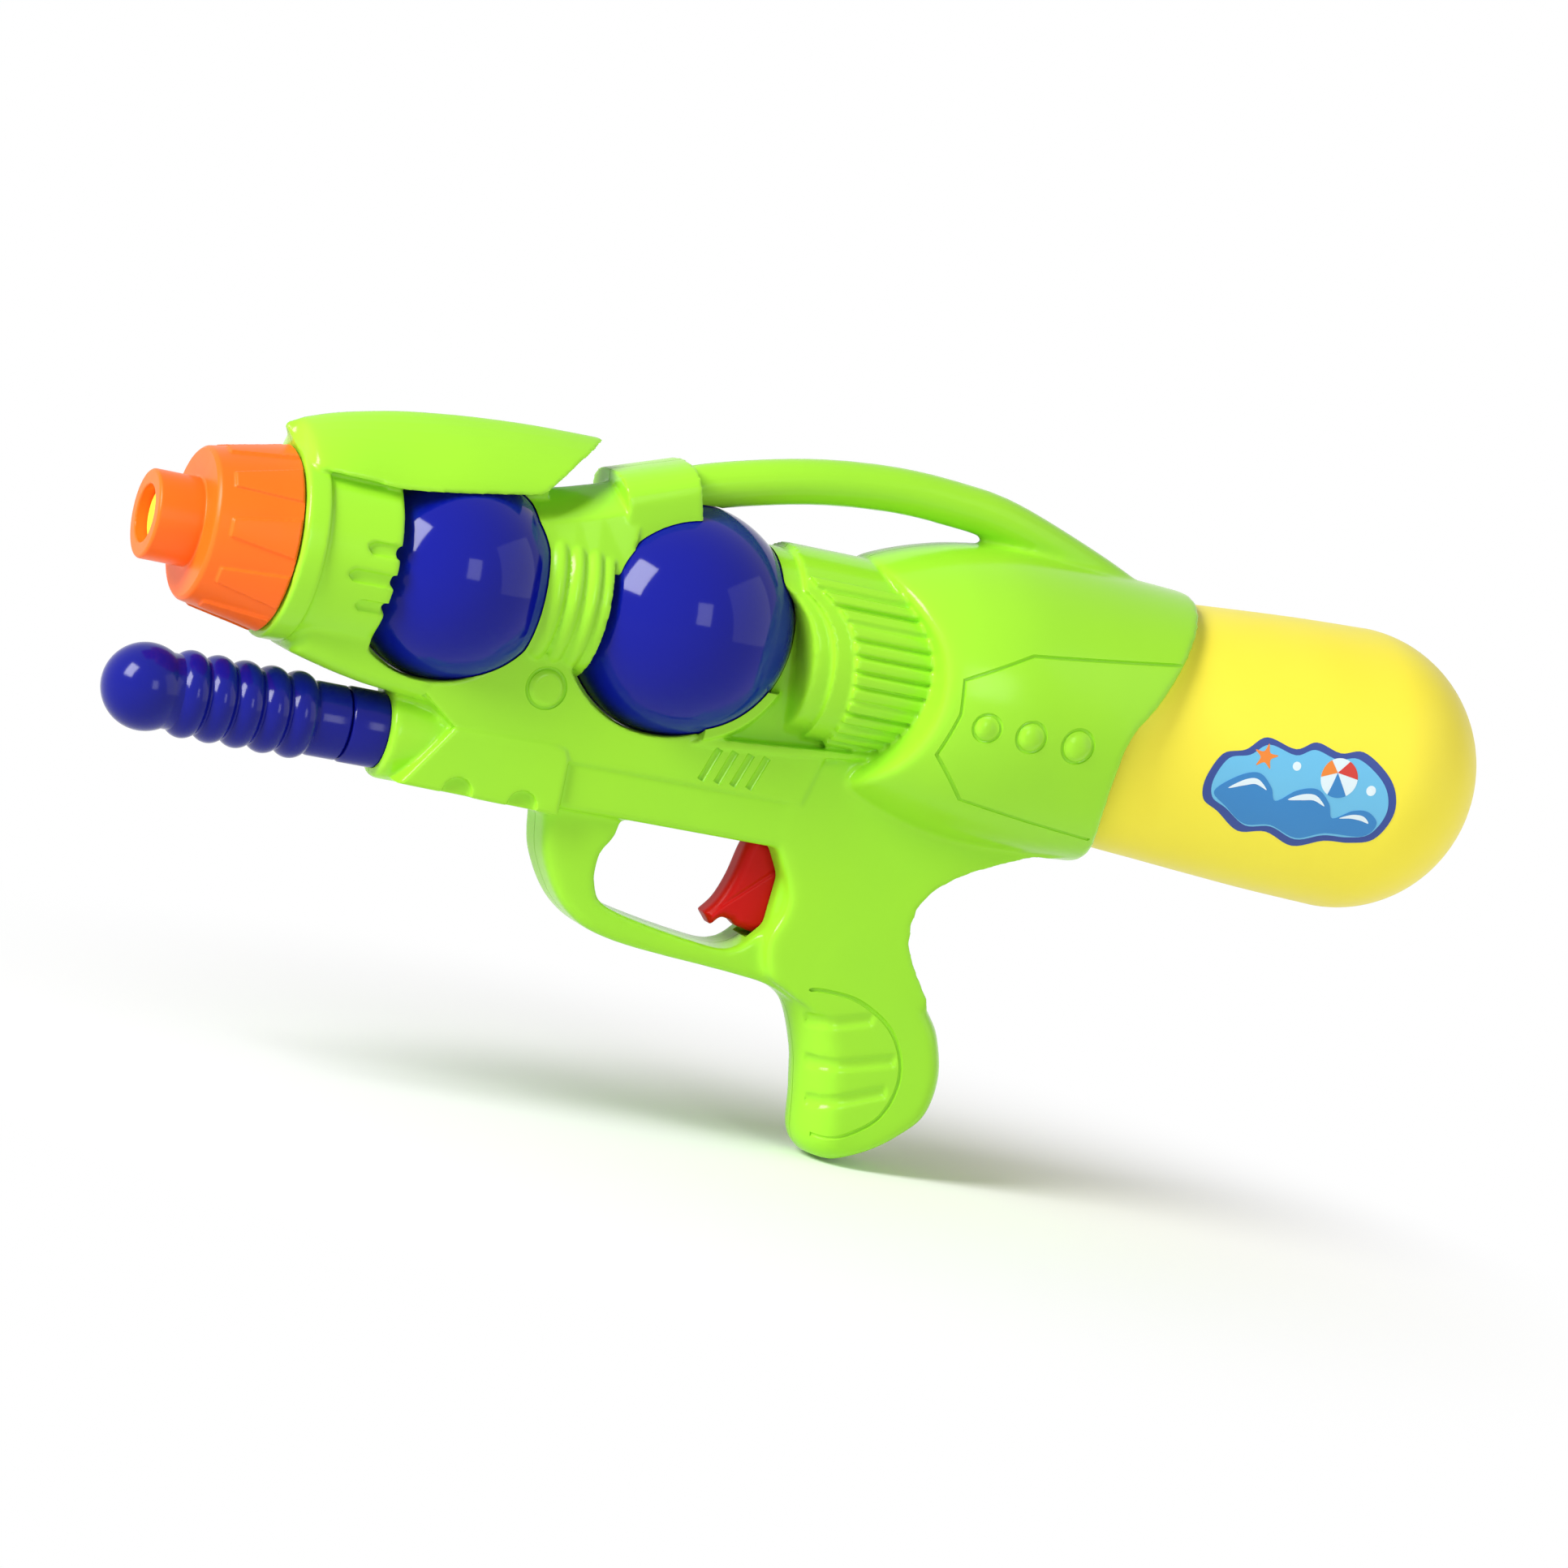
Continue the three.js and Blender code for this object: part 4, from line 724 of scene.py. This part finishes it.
# Bosses on the sleeve, each with its station, radius and the radius of the line round it, and the keel's button
BOSSES = ((33.4, 2.4, 3.4), (45.0, 2.7, 3.8), (57.9, 3.1, 4.2))
BOSS_Z, BOSS_RISE = TANK_Z - 4.2, 0.7
BUTTON = (-72, -21.4)
for side in SIDES:
    for x, radius, _ in BOSSES:
        seat = on_sleeve(x, BOSS_Z, side)
        raised.append(ball(x, radius, y=seat.y, z=seat.z, sides=32, squash=BOSS_RISE / radius))
    raised.append(cross_bar(*BUTTON, 4.0, 0, side * (KEEL_HALF + 0.9)))
detailed = softened(heap(cut(main, *sunk), *raised), FINE, rounds=3)

# Body: engraved lines

sleeve_line = outline(
    (99, 17.4), (86.1, 16), (42, 11.1), (25.5, 2.1), (26.3, -6.2), (23.9, -17.3), (34.3, -27.4), (54.3, -29.8),
    (73.5, -31.8),
)
grip_line = outline(
    (9.8, -84.2),
    [
        (13, -83), (19, -82.4), (28.2, -83.6), (37.4, -88.6), (42.5, -95.9), (43.5, -103.8), (40.5, -111.7),
        (33.8, -116.9), (28.6, -119), (25, -119.2),
    ],
)
KEEL_SLASHES = (-24.4, -20.1, -15.8, -11.5)


def ring_of(x, z, radius, count=40):
    """Points round a circle."""
    turns = [2 * math.pi * i / count for i in range(count)]
    return [(x + radius * math.cos(a), z + radius * math.sin(a)) for a in turns]


engraved = []
for side in SIDES:
    engraved.append(swept([on_sleeve(x, z, side, -0.15) for x, z in between(sleeve_line)], 0.55, 12))
    for x, _, radius in BOSSES:
        ring = [on_sleeve(a, b, side, -0.1) for a, b in ring_of(x, BOSS_Z, radius)]
        engraved.append(swept(ring, 0.5, 12, closed=True))
    ring = [(a, side * KEEL_HALF, b) for a, b in ring_of(*BUTTON, 4.9)]
    engraved.append(swept(ring, 0.5, 12, closed=True))
    for x in KEEL_SLASHES:
        slash = [(x, side * (KEEL_HALF + 0.3), -28), (x - 3, side * (KEEL_HALF + 0.3), -36.4)]
        engraved.append(swept(slash, 1.15, 16))
    step = [(PUMP_FRONT + 5, side * (KEEL_HALF - 0.4), -28.6), (-92.9, side * (KEEL_HALF - 0.4), -35.4)]
    engraved.append(swept(step, 0.8, 16))
    engraved.append(swept([round_the_grip(x, z, side, -0.1) for x, z in between(grip_line, 1)], 0.6, 12))

# Body: rooms for what it holds, with posts left standing round the screws

SCREWS = {
    "screw_barrel": (-127.7, -13.0),
    "screw_waist": (-70.5, -21.2),
    "screw_saddle": (-53.0, 29.0),
    "screw_drum": (-5.0, 14.6),
    "screw_guard": (-54.5, -55.7),
    "screw_grip_top": (30.0, -56.7),
    "screw_grip_toe": (42.0, -106.7),
}
SCREW_SEAT = 4.0
SCREW_POST, SCREW_RECESS, SCREW_HOLE = 4.6, 3.4, 1.7
SCREW_HEAD, SCREW_SHANK, SCREW_TIP = 2.8, 1.4, -7
barrel_room = turned(
    [
        (COLLAR - 1, 0), (COLLAR - 1, 17.3), (COLLAR + 3, 17.3), (COLLAR + 3, 20.3), (BARREL_RIM - 2.9, 20.3),
        (BARREL_RIM - 2.9, HOSE_HOLE), (BARREL_RIM + 2, HOSE_HOLE), (BARREL_RIM + 2, 0),
    ],
    sides=64,
)
waist_room = turned(
    [
        (FRONT_BALL[0] + 5, 0), (FRONT_BALL[0] + 5, 15.6), (WAIST_RIM - 2.4, 15.6),
        (WAIST_RIM - 2.4, HOSE_HOLE), (WAIST_RIM + 2, HOSE_HOLE), (WAIST_RIM + 2, 0),
    ],
    sides=64,
)
drum_room = rod(DRUM_FRONT + 8, 24, DRUM_RADIUS - 2.2)
tank_room = turned(
    [
        (22, 0), (22, 17.6), (29, 31.8), (36, 34.4), (44, 35.6), (TANK_SHOULDER, 35.3), (78.6, 32), (100, 33.8),
        (128, 35.8), (128, 0),
    ],
    z=TANK_Z,
)
hollows = [
    ball(FRONT_BALL[0], FRONT_BALL[1] + BALL_FIT),
    ball(REAR_BALL[0], REAR_BALL[1] + BALL_FIT),
    cut(barrel_room, cross_bar(*SCREWS["screw_barrel"], SCREW_POST, -60, 60)),
    waist_room,
    rod(PUMP_FRONT - 1, -9.7, 9.3, z=PUMP_Z),
    block((-19, -10.3, RECEIVER_Z + 2.2), (31, 10.3, -31.4)),
    block((DRUM_FRONT + 3.6, -5.8, -32), (31, 5.8, STEM_ROOM_TOP)),
    block((16, -10.3, -32), (31, 10.3, VALVE_Z)),
    rod(DRUM_FRONT - 8, DRUM_FRONT + 10, 5, sides=32),
    block((PIN_X - 9.5, -4.5, RECEIVER_Z - 24), (14, 4.5, RECEIVER_Z + 6)),
    cut(drum_room, cross_bar(*SCREWS["screw_drum"], SCREW_POST, -60, 60)),
    tank_room,
    heap(*[cross_bar(x, z, SCREW_RECESS, SCREW_SEAT, 60) for x, z in SCREWS.values()]),
    heap(*[cross_bar(x, z, SCREW_HOLE, SCREW_TIP - 1, SCREW_SEAT + 1) for x, z in SCREWS.values()]),
]
body = thinned(detailed, SHELL_TRIANGLES)
body = cut(body, *engraved, *hollows)
left = common(body.copy(), block((-300, -90, -300), (300, -SEAM, 300)))
right = common(body, block((-300, SEAM, -300), (300, 90, 300)))
piece(left, "shell_left", "body", GREEN, ["body_shell_left"])
piece(right, "shell_right", "body", GREEN, ["body_shell_right"])

# Screws: pan heads with a cross recess

for name, (x, z) in SCREWS.items():
    head = cross_bar(x, z, SCREW_HEAD, SCREW_SEAT + 0.3, SCREW_SEAT + 2.3, sides=48)
    rim = [e for e in head.edges if all(v.co.y > SCREW_SEAT + 2 for v in e.verts)]
    round_over(head, rim, 0.9, segments=5)
    slots = [
        placed(
            block((-1.7, SCREW_SEAT + 1.2, -0.35), (1.7, SCREW_SEAT + 3, 0.35)),
            Matrix.Translation((x, 0, z)) @ Matrix.Rotation(turn, 4, "Y"),
        )
        for turn in (0.4, 0.4 + math.pi / 2)
    ]
    shank = cross_bar(x, z, SCREW_SHANK, SCREW_TIP, SCREW_SEAT + 0.8, sides=24)
    screw = cut(fused(shank, head), *slots)
    piece(screw, name.replace("screw", "pan_screw"), "body", STEEL, [name])

# Balls: hollow domes with a hole at each end for the water hose

for name, (x, radius) in (("front", FRONT_BALL), ("rear", REAR_BALL)):
    for hand, side in (("left", -1), ("right", 1)):
        dome = cut(
            ball(x, radius, sides=160), ball(x, radius - BALL_WALL), rod(x - 40, x + 40, HOSE_HOLE, sides=32)
        )
        dome = common(dome, block((x - 40, side * SEAM, -40), (x + 40, side * 40, 40)))
        piece(dome, f"{name}_dome_{hand}", "body", BLUE, [f"{name}_ball_{hand}"])

# Nozzle: a cone with raised wedges that spread towards the collar, and the jet inside its tip

CONE_END = COLLAR - 0.3
cone_side = [(CONE_FRONT + 0.8, CONE_RADIUS), (CONE_END - 5, 21.2), (CONE_END, 22.2)]
cone = turned(
    [
        (NOZZLE, NOZZLE_BORE), (NOZZLE, 10.3), (NOZZLE + 0.5, 10.8), (CONE_FRONT, 10.8),
        (CONE_FRONT, CONE_RADIUS - 0.8), *cone_side, (CONE_END, 17), (COLLAR + 3.3, 17), (COLLAR + 3.3, 19.5),
        (COLLAR + 5.3, 19.5), (COLLAR + 5.3, 14.8), (CONE_END - 7, 14.8), (CONE_FRONT + 2.4, 14),
        (CONE_FRONT + 2.4, NOZZLE_BORE), (NOZZLE, NOZZLE_BORE),
    ],
    sides=128,
)
WEDGE_COUNT, WEDGE_TURN, WEDGE_RISE = 10, 7, 0.65
wedge_inner = [(CONE_END, 16), (CONE_FRONT + 0.8, 16), (CONE_FRONT + 0.8, CONE_RADIUS + WEDGE_RISE)]
wedge_skin = turned([(x, r + WEDGE_RISE) for x, r in cone_side] + wedge_inner, sides=128)
wedge = [(CONE_FRONT + 4, -2.1), (CONE_FRONT + 4, 2.1), (CONE_END - 0.6, 4.7), (CONE_END - 0.6, -4.7)]
wedges = []
for i in range(WEDGE_COUNT):
    turn = Matrix.Rotation(math.radians(360 / WEDGE_COUNT * i - WEDGE_TURN), 4, "X")
    wedges.append(placed(plate(wedge, half=10, centre=-20), turn))
cone = fused(cone, common(wedge_skin, heap(*wedges)))
cone = thinned(softened(cone, FINEST, rounds=2), CONE_TRIANGLES)
piece(cone, "spray_cone", "body", ORANGE, ["nozzle_cone"])

jet_face = NOZZLE + 2.8
jet_flange = CONE_FRONT + 2.7
jet = turned(
    [
        (jet_face + 2.5, 0.9), (jet_face, 1.7), (jet_face, 6.2), (jet_face + 0.5, 6.7), (jet_flange, 6.7),
        (jet_flange, 10), (jet_flange + 2, 10), (jet_flange + 2, 1.5), (jet_flange + 10, 1.5),
        (jet_flange + 10, 0.9), (jet_face + 2.5, 0.9),
    ],
    sides=64,
)
piece(jet, "spray_jet", "body", YELLOW, ["nozzle_jet"])

# Pump handle, with a round knob and rings for the fingers, and the cap it stops against

KNOB, HANDLE_END, HANDLE_RADIUS = -166.0, -116.6, 10.6
RING_COUNT, RING_PITCH, RING_ROOT, RING_RISE = 5, 6.8, 8.6, 2.0
RINGS_END = HANDLE_END - 8.5
knob_run = [math.radians(4 * i) for i in range(31)]
ring_run = [(j + 0.5) / 14 for j in range(14)]
handle_profile = [(KNOB - HANDLE_RADIUS * math.cos(a), HANDLE_RADIUS * math.sin(a)) for a in knob_run]
for i in range(RING_COUNT):
    start = RINGS_END - (RING_COUNT - i) * RING_PITCH
    handle_profile += [
        (start + RING_PITCH * t, RING_ROOT + RING_RISE * math.sin(math.pi * t) ** 0.6) for t in ring_run
    ]
handle_profile += [
    (RINGS_END + 0.3, 8.8), (RINGS_END + 1.2, 9.1), (HANDLE_END - 0.5, 9.1), (HANDLE_END, 8.6),
    (HANDLE_END, PUMP_ROD_HOLE), (HANDLE_END - 26, PUMP_ROD_HOLE), (HANDLE_END - 26, 0),
]
handle = turned(handle_profile, z=PUMP_Z)
piece(handle, "pump_grip", "pump", PUMP_BLUE, ["pump_handle"])

CAP_REAR = PUMP_FRONT - 0.3
CAP = CAP_REAR - 9
cap = turned(
    [
        (CAP, PUMP_ROD_HOLE), (CAP, 8.5), (CAP + 0.2, 8.9), (CAP + 0.8, 9.3), (CAP_REAR, 9.3), (CAP_REAR, 9),
        (PUMP_FRONT + 1.7, 9), (PUMP_FRONT + 1.7, 7.2), (PUMP_FRONT + 6.5, 7.2),
        (PUMP_FRONT + 6.5, PUMP_ROD_HOLE), (CAP, PUMP_ROD_HOLE),
    ],
    z=PUMP_Z,
)
piece(cap, "pump_collar", "body", PUMP_BLUE, ["pump_cap"])

# Trigger: a blade with a slanting crease on each side, and the lever that works the valve

blade = plate(
    outline(
        (-6.4, RECEIVER_Z + 1), down([(-7.6, -3), (-9, -10), (-11.2, -16), (-14.2, -20)]),
        (-11.6, RECEIVER_Z - 22.8), down([(-9.4, -20.6), (-6.6, -20.8)]),
        (-4.8, RECEIVER_Z - 22), down([(0, -22.8), (4, -22)]),
        down([(6.4, -17), (7, -12), (6.4, -6), (4, 1)]),
    ),
    half=4.2, rounding=2.6, segments=6,
)
creases = [swept([(-13.2, side * 4.4, -69.6), (2.4, side * 4.4, -55.4)], 0.6, 16) for side in SIDES]
blade = cut(blade, *creases)
lever = plate(
    [(-5, -52), (-5.4, -45), (-3.2, -39), (2.5, -21), (5.5, -21), (2.2, -39), (3.4, -45), (3, -52)],
    half=2.6, rounding=0.4, segments=2,
)
fork = cut(block((2.5, -4.6, -22), (5.5, 4.6, -9.4)), block((1, -1.8, -15.6), (7, 1.8, -8)))
pin_hole = cross_bar(PIN_X, PIN_Z, 2.05, -10, 10)
trigger = cut(softened(heap(blade, lever, fork), FINEST, rounds=3), pin_hole)
piece(thinned(trigger, TRIGGER_TRIANGLES), "trigger_lever", "trigger", RED, ["trigger"])

# Valve spring: a wire coil round the stem, drawn as one fixed coil; in the squirter the stem's head squeezes it
# against the seal at a pull

SPRING_FRONT, SPRING_REAR, SPRING_RADIUS, SPRING_WIRE = 14.9, 26.95, 2.25, 0.4
SPRING_TURNS, SPRING_STEPS = 5, 160
spring_path = []
for i in range(SPRING_STEPS + 1):
    along, turn = i / SPRING_STEPS, 2 * math.pi * SPRING_TURNS * i / SPRING_STEPS
    spring_path.append(
        (
            SPRING_FRONT + (SPRING_REAR - SPRING_FRONT) * along,
            SPRING_RADIUS * math.sin(turn),
            VALVE_Z + SPRING_RADIUS * math.cos(turn),
        )
    )
coil = swept(spring_path, SPRING_WIRE, sides=16)
spring = piece(coil, "return_spring", "valve", STEEL, ["valve_spring"])
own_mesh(spring)

# Tank: a blown bottle, widest near its round end, with its wall turned in at the neck

tank_side = curve_through(
    [
        (TANK_SHOULDER, 16.2), (66.6, 23), (71.6, 28.6), (78.6, 31.4), (100, 33.2), (128, 35.2),
        (TANK_WIDEST, TANK_RADIUS),
    ],
    steps=6,
)
dome_run = [math.radians(3 * i) for i in range(1, 31)]


def round_end(length, radius):
    """The tank's round end from its widest place to its tip, which lies on the axis."""
    run = [(TANK_WIDEST + length * math.sin(a), radius * math.cos(a)) for a in dome_run]
    return [*run[:-1], (TANK_WIDEST + length, 0)]


dome_length = TANK_END - TANK_WIDEST
tank_dome = round_end(dome_length, TANK_RADIUS)
neck = [(NECK_X, 15.6), (NECK_X + 0.4, 16), (TANK_SHOULDER, 16)]
tank_outer = [*neck, *[tuple(p) for p in tank_side], *tank_dome]
tank_inner = round_end(dome_length - TANK_WALL, TANK_RADIUS - TANK_WALL)[::-1]
tank_inner += [(p[0], p[1] - TANK_WALL) for p in reversed(tank_side)]
tank_inner += [(TANK_SHOULDER, 13.8), (NECK_X, 13.8), (NECK_X, 15.6)]
tank = turned(tank_outer + tank_inner, sides=128, z=TANK_Z)
piece(tank, "water_tank", "tank", YELLOW, ["tank"])

# Sticker on the tank's side: waves with a beach ball and a starfish, in thin printed film

STICKER_X, STICKER_Z = 123.0, -9.4
STICKER_SCALE, STICKER_TILT = 0.87, math.radians(-4)
STICKER_FRONT, STICKER_REAR = 80, 172


def film(points, lift):
    """A piece of film cut to an outline and laid on the side of the tank."""
    side = [tuple(p) for p in tank_side] + tank_dome
    skin = [(x, r + lift) for x, r in side if STICKER_FRONT < x < STICKER_REAR]
    skin += [(skin[-1][0], 24), (skin[0][0], 24), skin[0]]
    across, up = math.cos(STICKER_TILT), math.sin(STICKER_TILT)
    lay = [
        (STICKER_X + x * across - z * up, STICKER_Z + x * up + z * across)
        for x, z in [(STICKER_SCALE * x, STICKER_SCALE * z) for x, z in points]
    ]
    return common(turned(skin, sides=256, z=TANK_Z), plate(lay, half=30, centre=-33))


def loop(*points):
    """A closed smooth outline through the points."""
    run = [Vector(p) for p in (points[-1], *points, points[0], points[1])]
    return curve_through(run, 6)[6 : 6 + 6 * len(points)]


def wedge_of(x, z, radius, start, end):
    """A sector of a round spot between two angles in degrees, its point a little off the middle."""
    turns = [math.radians(start + (end - start) * i / 10) for i in range(11)]
    return [(x - 1, z + 1.4)] + [(x + radius * math.cos(a), z + radius * math.sin(a)) for a in turns]


badge = [
    (-30, -3), (-27.5, 5), (-21, 8), (-15.5, 13), (-6, 12), (0, 15.5), (8, 14.4), (15, 16.5), (23, 13), (28, 8),
    (30, 1), (27.5, -7), (21, -10), (13, -11.5), (5, -15.5), (-5, -13.5), (-13, -15.5), (-22, -11.5), (-28, -9),
]
swell = loop(
    (-26, -6), (-21, 0), (-15, 2.6), (-10, -0.4), (-7, -4), (-2, 0.6), (4, 2.6), (9, -0.4), (12, -4.4),
    (17, -0.8), (22, 0.2), (26, -2.6), (23.4, -7.2), (12, -9.2), (4.4, -12.9), (-5, -11.2), (-12.6, -12.9),
    (-20.6, -9.4),
)
crests = [
    loop((-22.4, -4), (-18.6, -0.4), (-14.8, 0.8), (-11, -1.6), (-14.8, -0.8), (-18, -2)),
    loop((-3.6, -2.6), (0, 0), (4.2, 0.8), (8, -1.6), (4.2, -0.8), (0.8, -1.6)),
    loop((14, -3.8), (17.4, -1.8), (21, -1.4), (23.4, -3), (20.6, -2.8), (17.4, -3)),
]
star = loop(
    *[
        (-14.5 + r * math.sin(a), 7.6 + r * math.cos(a))
        for i in range(5)
        for r, a in ((3.8, 2 * math.pi * i / 5), (1.7, 2 * math.pi * (i + 0.5) / 5))
    ]
)
BEACH_BALL = (9.5, 7.4, 5.8)
# Each piece of film with its outline, its height over the tank in millimetres, and its ink
stickers = [
    ("border", loop(*badge), 0.08, FILM_NAVY),
    ("sky", loop(*[(x * 0.92, z * 0.86) for x, z in badge]), 0.12, FILM_SKY),
    ("beach_ball", ring_of(*BEACH_BALL, 48), 0.16, FILM_PALE),
    ("ball_red", wedge_of(*BEACH_BALL, 10, 70), 0.20, FILM_RED),
    ("ball_orange", wedge_of(*BEACH_BALL, 130, 190), 0.20, FILM_ORANGE),
    ("ball_blue", wedge_of(*BEACH_BALL, 250, 310), 0.20, FILM_BLUE),
    ("starfish", star, 0.16, FILM_ORANGE),
    ("swell", swell, 0.24, FILM_BLUE),
    ("drop_left", ring_of(-4.4, 7.4, 1.3, 24), 0.16, FILM_PALE),
    ("drop_right", ring_of(20.4, 6.4, 1.5, 24), 0.16, FILM_PALE),
]
stickers += [(f"crest_{i}", points, 0.28, FILM_PALE) for i, points in enumerate(crests, 1)]
for name, points, lift, material in stickers:
    piece(film(points, lift), f"sticker_{name}", "tank", material)

# Scene: camera, light and floor, in metres

TURN, TILT, ROLL = math.radians(23.5), math.radians(6), math.radians(13.3)
AIM_DROP, CAMERA_DISTANCE = 0.035, 1.455
back = Vector((-math.sin(TURN) * math.cos(TILT), -math.cos(TURN) * math.cos(TILT), math.sin(TILT)))
level = Vector((math.cos(TURN), -math.sin(TURN), 0))
upright = back.cross(level)
right_way = level * math.cos(ROLL) + upright * math.sin(ROLL)
up_way = upright * math.cos(ROLL) - level * math.sin(ROLL)
aim = AXIS_PLACE + Vector((0, 0, -AIM_DROP))
camera_data = bpy.data.cameras.new("photo_camera")
camera_data.lens = 135
camera_data.sensor_width = 36
camera_data.clip_end = 50
camera = bpy.data.objects.new("photo_camera", camera_data)
facing = Matrix((right_way, up_way, back)).transposed().to_4x4()
camera.matrix_world = Matrix.Translation(aim + back * CAMERA_DISTANCE) @ facing
bpy.context.scene.collection.objects.link(camera)
bpy.context.scene.camera = camera


def lamp(name, towards, distance, size, power):
    """A rectangular lamp that shines at the object, its size in metres and its power in watts."""
    data = bpy.data.lights.new(name, "AREA")
    data.shape = "RECTANGLE"
    data.size, data.size_y = size
    data.energy = power
    made = bpy.data.objects.new(name, data)
    aimed = Vector(towards).to_track_quat("Z", "Y").to_matrix().to_4x4()
    made.matrix_world = Matrix.Translation(aim + Vector(towards).normalized() * distance) @ aimed
    bpy.context.scene.collection.objects.link(made)


lamp("window", (-0.82, -0.235, 0.53), 1.6, (0.62, 0.8), 32)
lamp("front_window", (0.07, -0.963, 0.257), 2.2, (0.55, 0.8), 6.2)
lamp("right_fill", (0.8, -0.5, 0.35), 0.9, (0.8, 0.8), 1.9)


def seen(tree):
    """1 for a ray from the camera, a reflection or a view through something, 0 for one that gives light."""
    ray = node(tree, "ShaderNodeLightPath").outputs
    shine = node(
        tree, "ShaderNodeMath", {0: ray["Is Camera Ray"], 1: ray["Is Glossy Ray"]}, operation="MAXIMUM"
    )
    either = node(
        tree, "ShaderNodeMath", {0: shine.outputs[0], 1: ray["Is Transmission Ray"]}, operation="MAXIMUM"
    )
    return either.outputs[0]


# White studio paper: it shows the object's soft shadow close by and runs out to pure white
FLOOR_HALF, FLOOR_DROP = 12, 0.0005
FADE_START, FADE_END = 0.05, 0.25
floor_mesh = bmesh.new()
bmesh.ops.create_grid(floor_mesh, x_segments=1, y_segments=1, size=FLOOR_HALF)
bmesh.ops.translate(floor_mesh, verts=floor_mesh.verts, vec=(0, 0, -FLOOR_DROP))
floor = as_object(floor_mesh, "floor")
paper = bpy.data.materials.new("white_studio_paper")
paper.use_nodes = True
tree = paper.node_tree
sheet = tree.nodes["Principled BSDF"]
sheet.inputs["Base Color"].default_value = linear("#fbfbfb")
sheet.inputs["Roughness"].default_value = 0.9
place = node(tree, "ShaderNodeTexCoord").outputs["Object"]
away = node(tree, "ShaderNodeVectorMath", {0: place}, operation="LENGTH")
fade = node(tree, "ShaderNodeMapRange", {"Value": away.outputs["Value"]}, interpolation_type="SMOOTHSTEP")
fade.inputs["From Min"].default_value = FADE_START
fade.inputs["From Max"].default_value = FADE_END
far_white = node(tree, "ShaderNodeMath", {0: fade.outputs["Result"], 1: seen(tree)}, operation="MULTIPLY")
white = node(tree, "ShaderNodeEmission", Strength=1.0)
blend = node(tree, "ShaderNodeMixShader", {0: far_white.outputs[0], 1: sheet.outputs[0], 2: white.outputs[0]})
tree.links.new(blend.outputs[0], tree.nodes["Material Output"].inputs["Surface"])
floor.data.materials.append(paper)

# Studio air: dim for what it lights, white for what looks at it
AIR_LIGHT = 0.2
world = bpy.data.worlds.new("studio")
bpy.context.scene.world = world
world.use_nodes = True
tree = world.node_tree
air = tree.nodes["Background"]
air.inputs["Color"].default_value = (1, 1, 1, 1)
air.inputs["Strength"].default_value = AIR_LIGHT
backdrop = node(tree, "ShaderNodeBackground", Color=(1, 1, 1, 1), Strength=1.0)
blend = node(tree, "ShaderNodeMixShader", {0: seen(tree), 1: air.outputs[0], 2: backdrop.outputs[0]})
tree.links.new(blend.outputs[0], tree.nodes["World Output"].inputs["Surface"])
bpy.context.scene.view_settings.view_transform = "Standard"
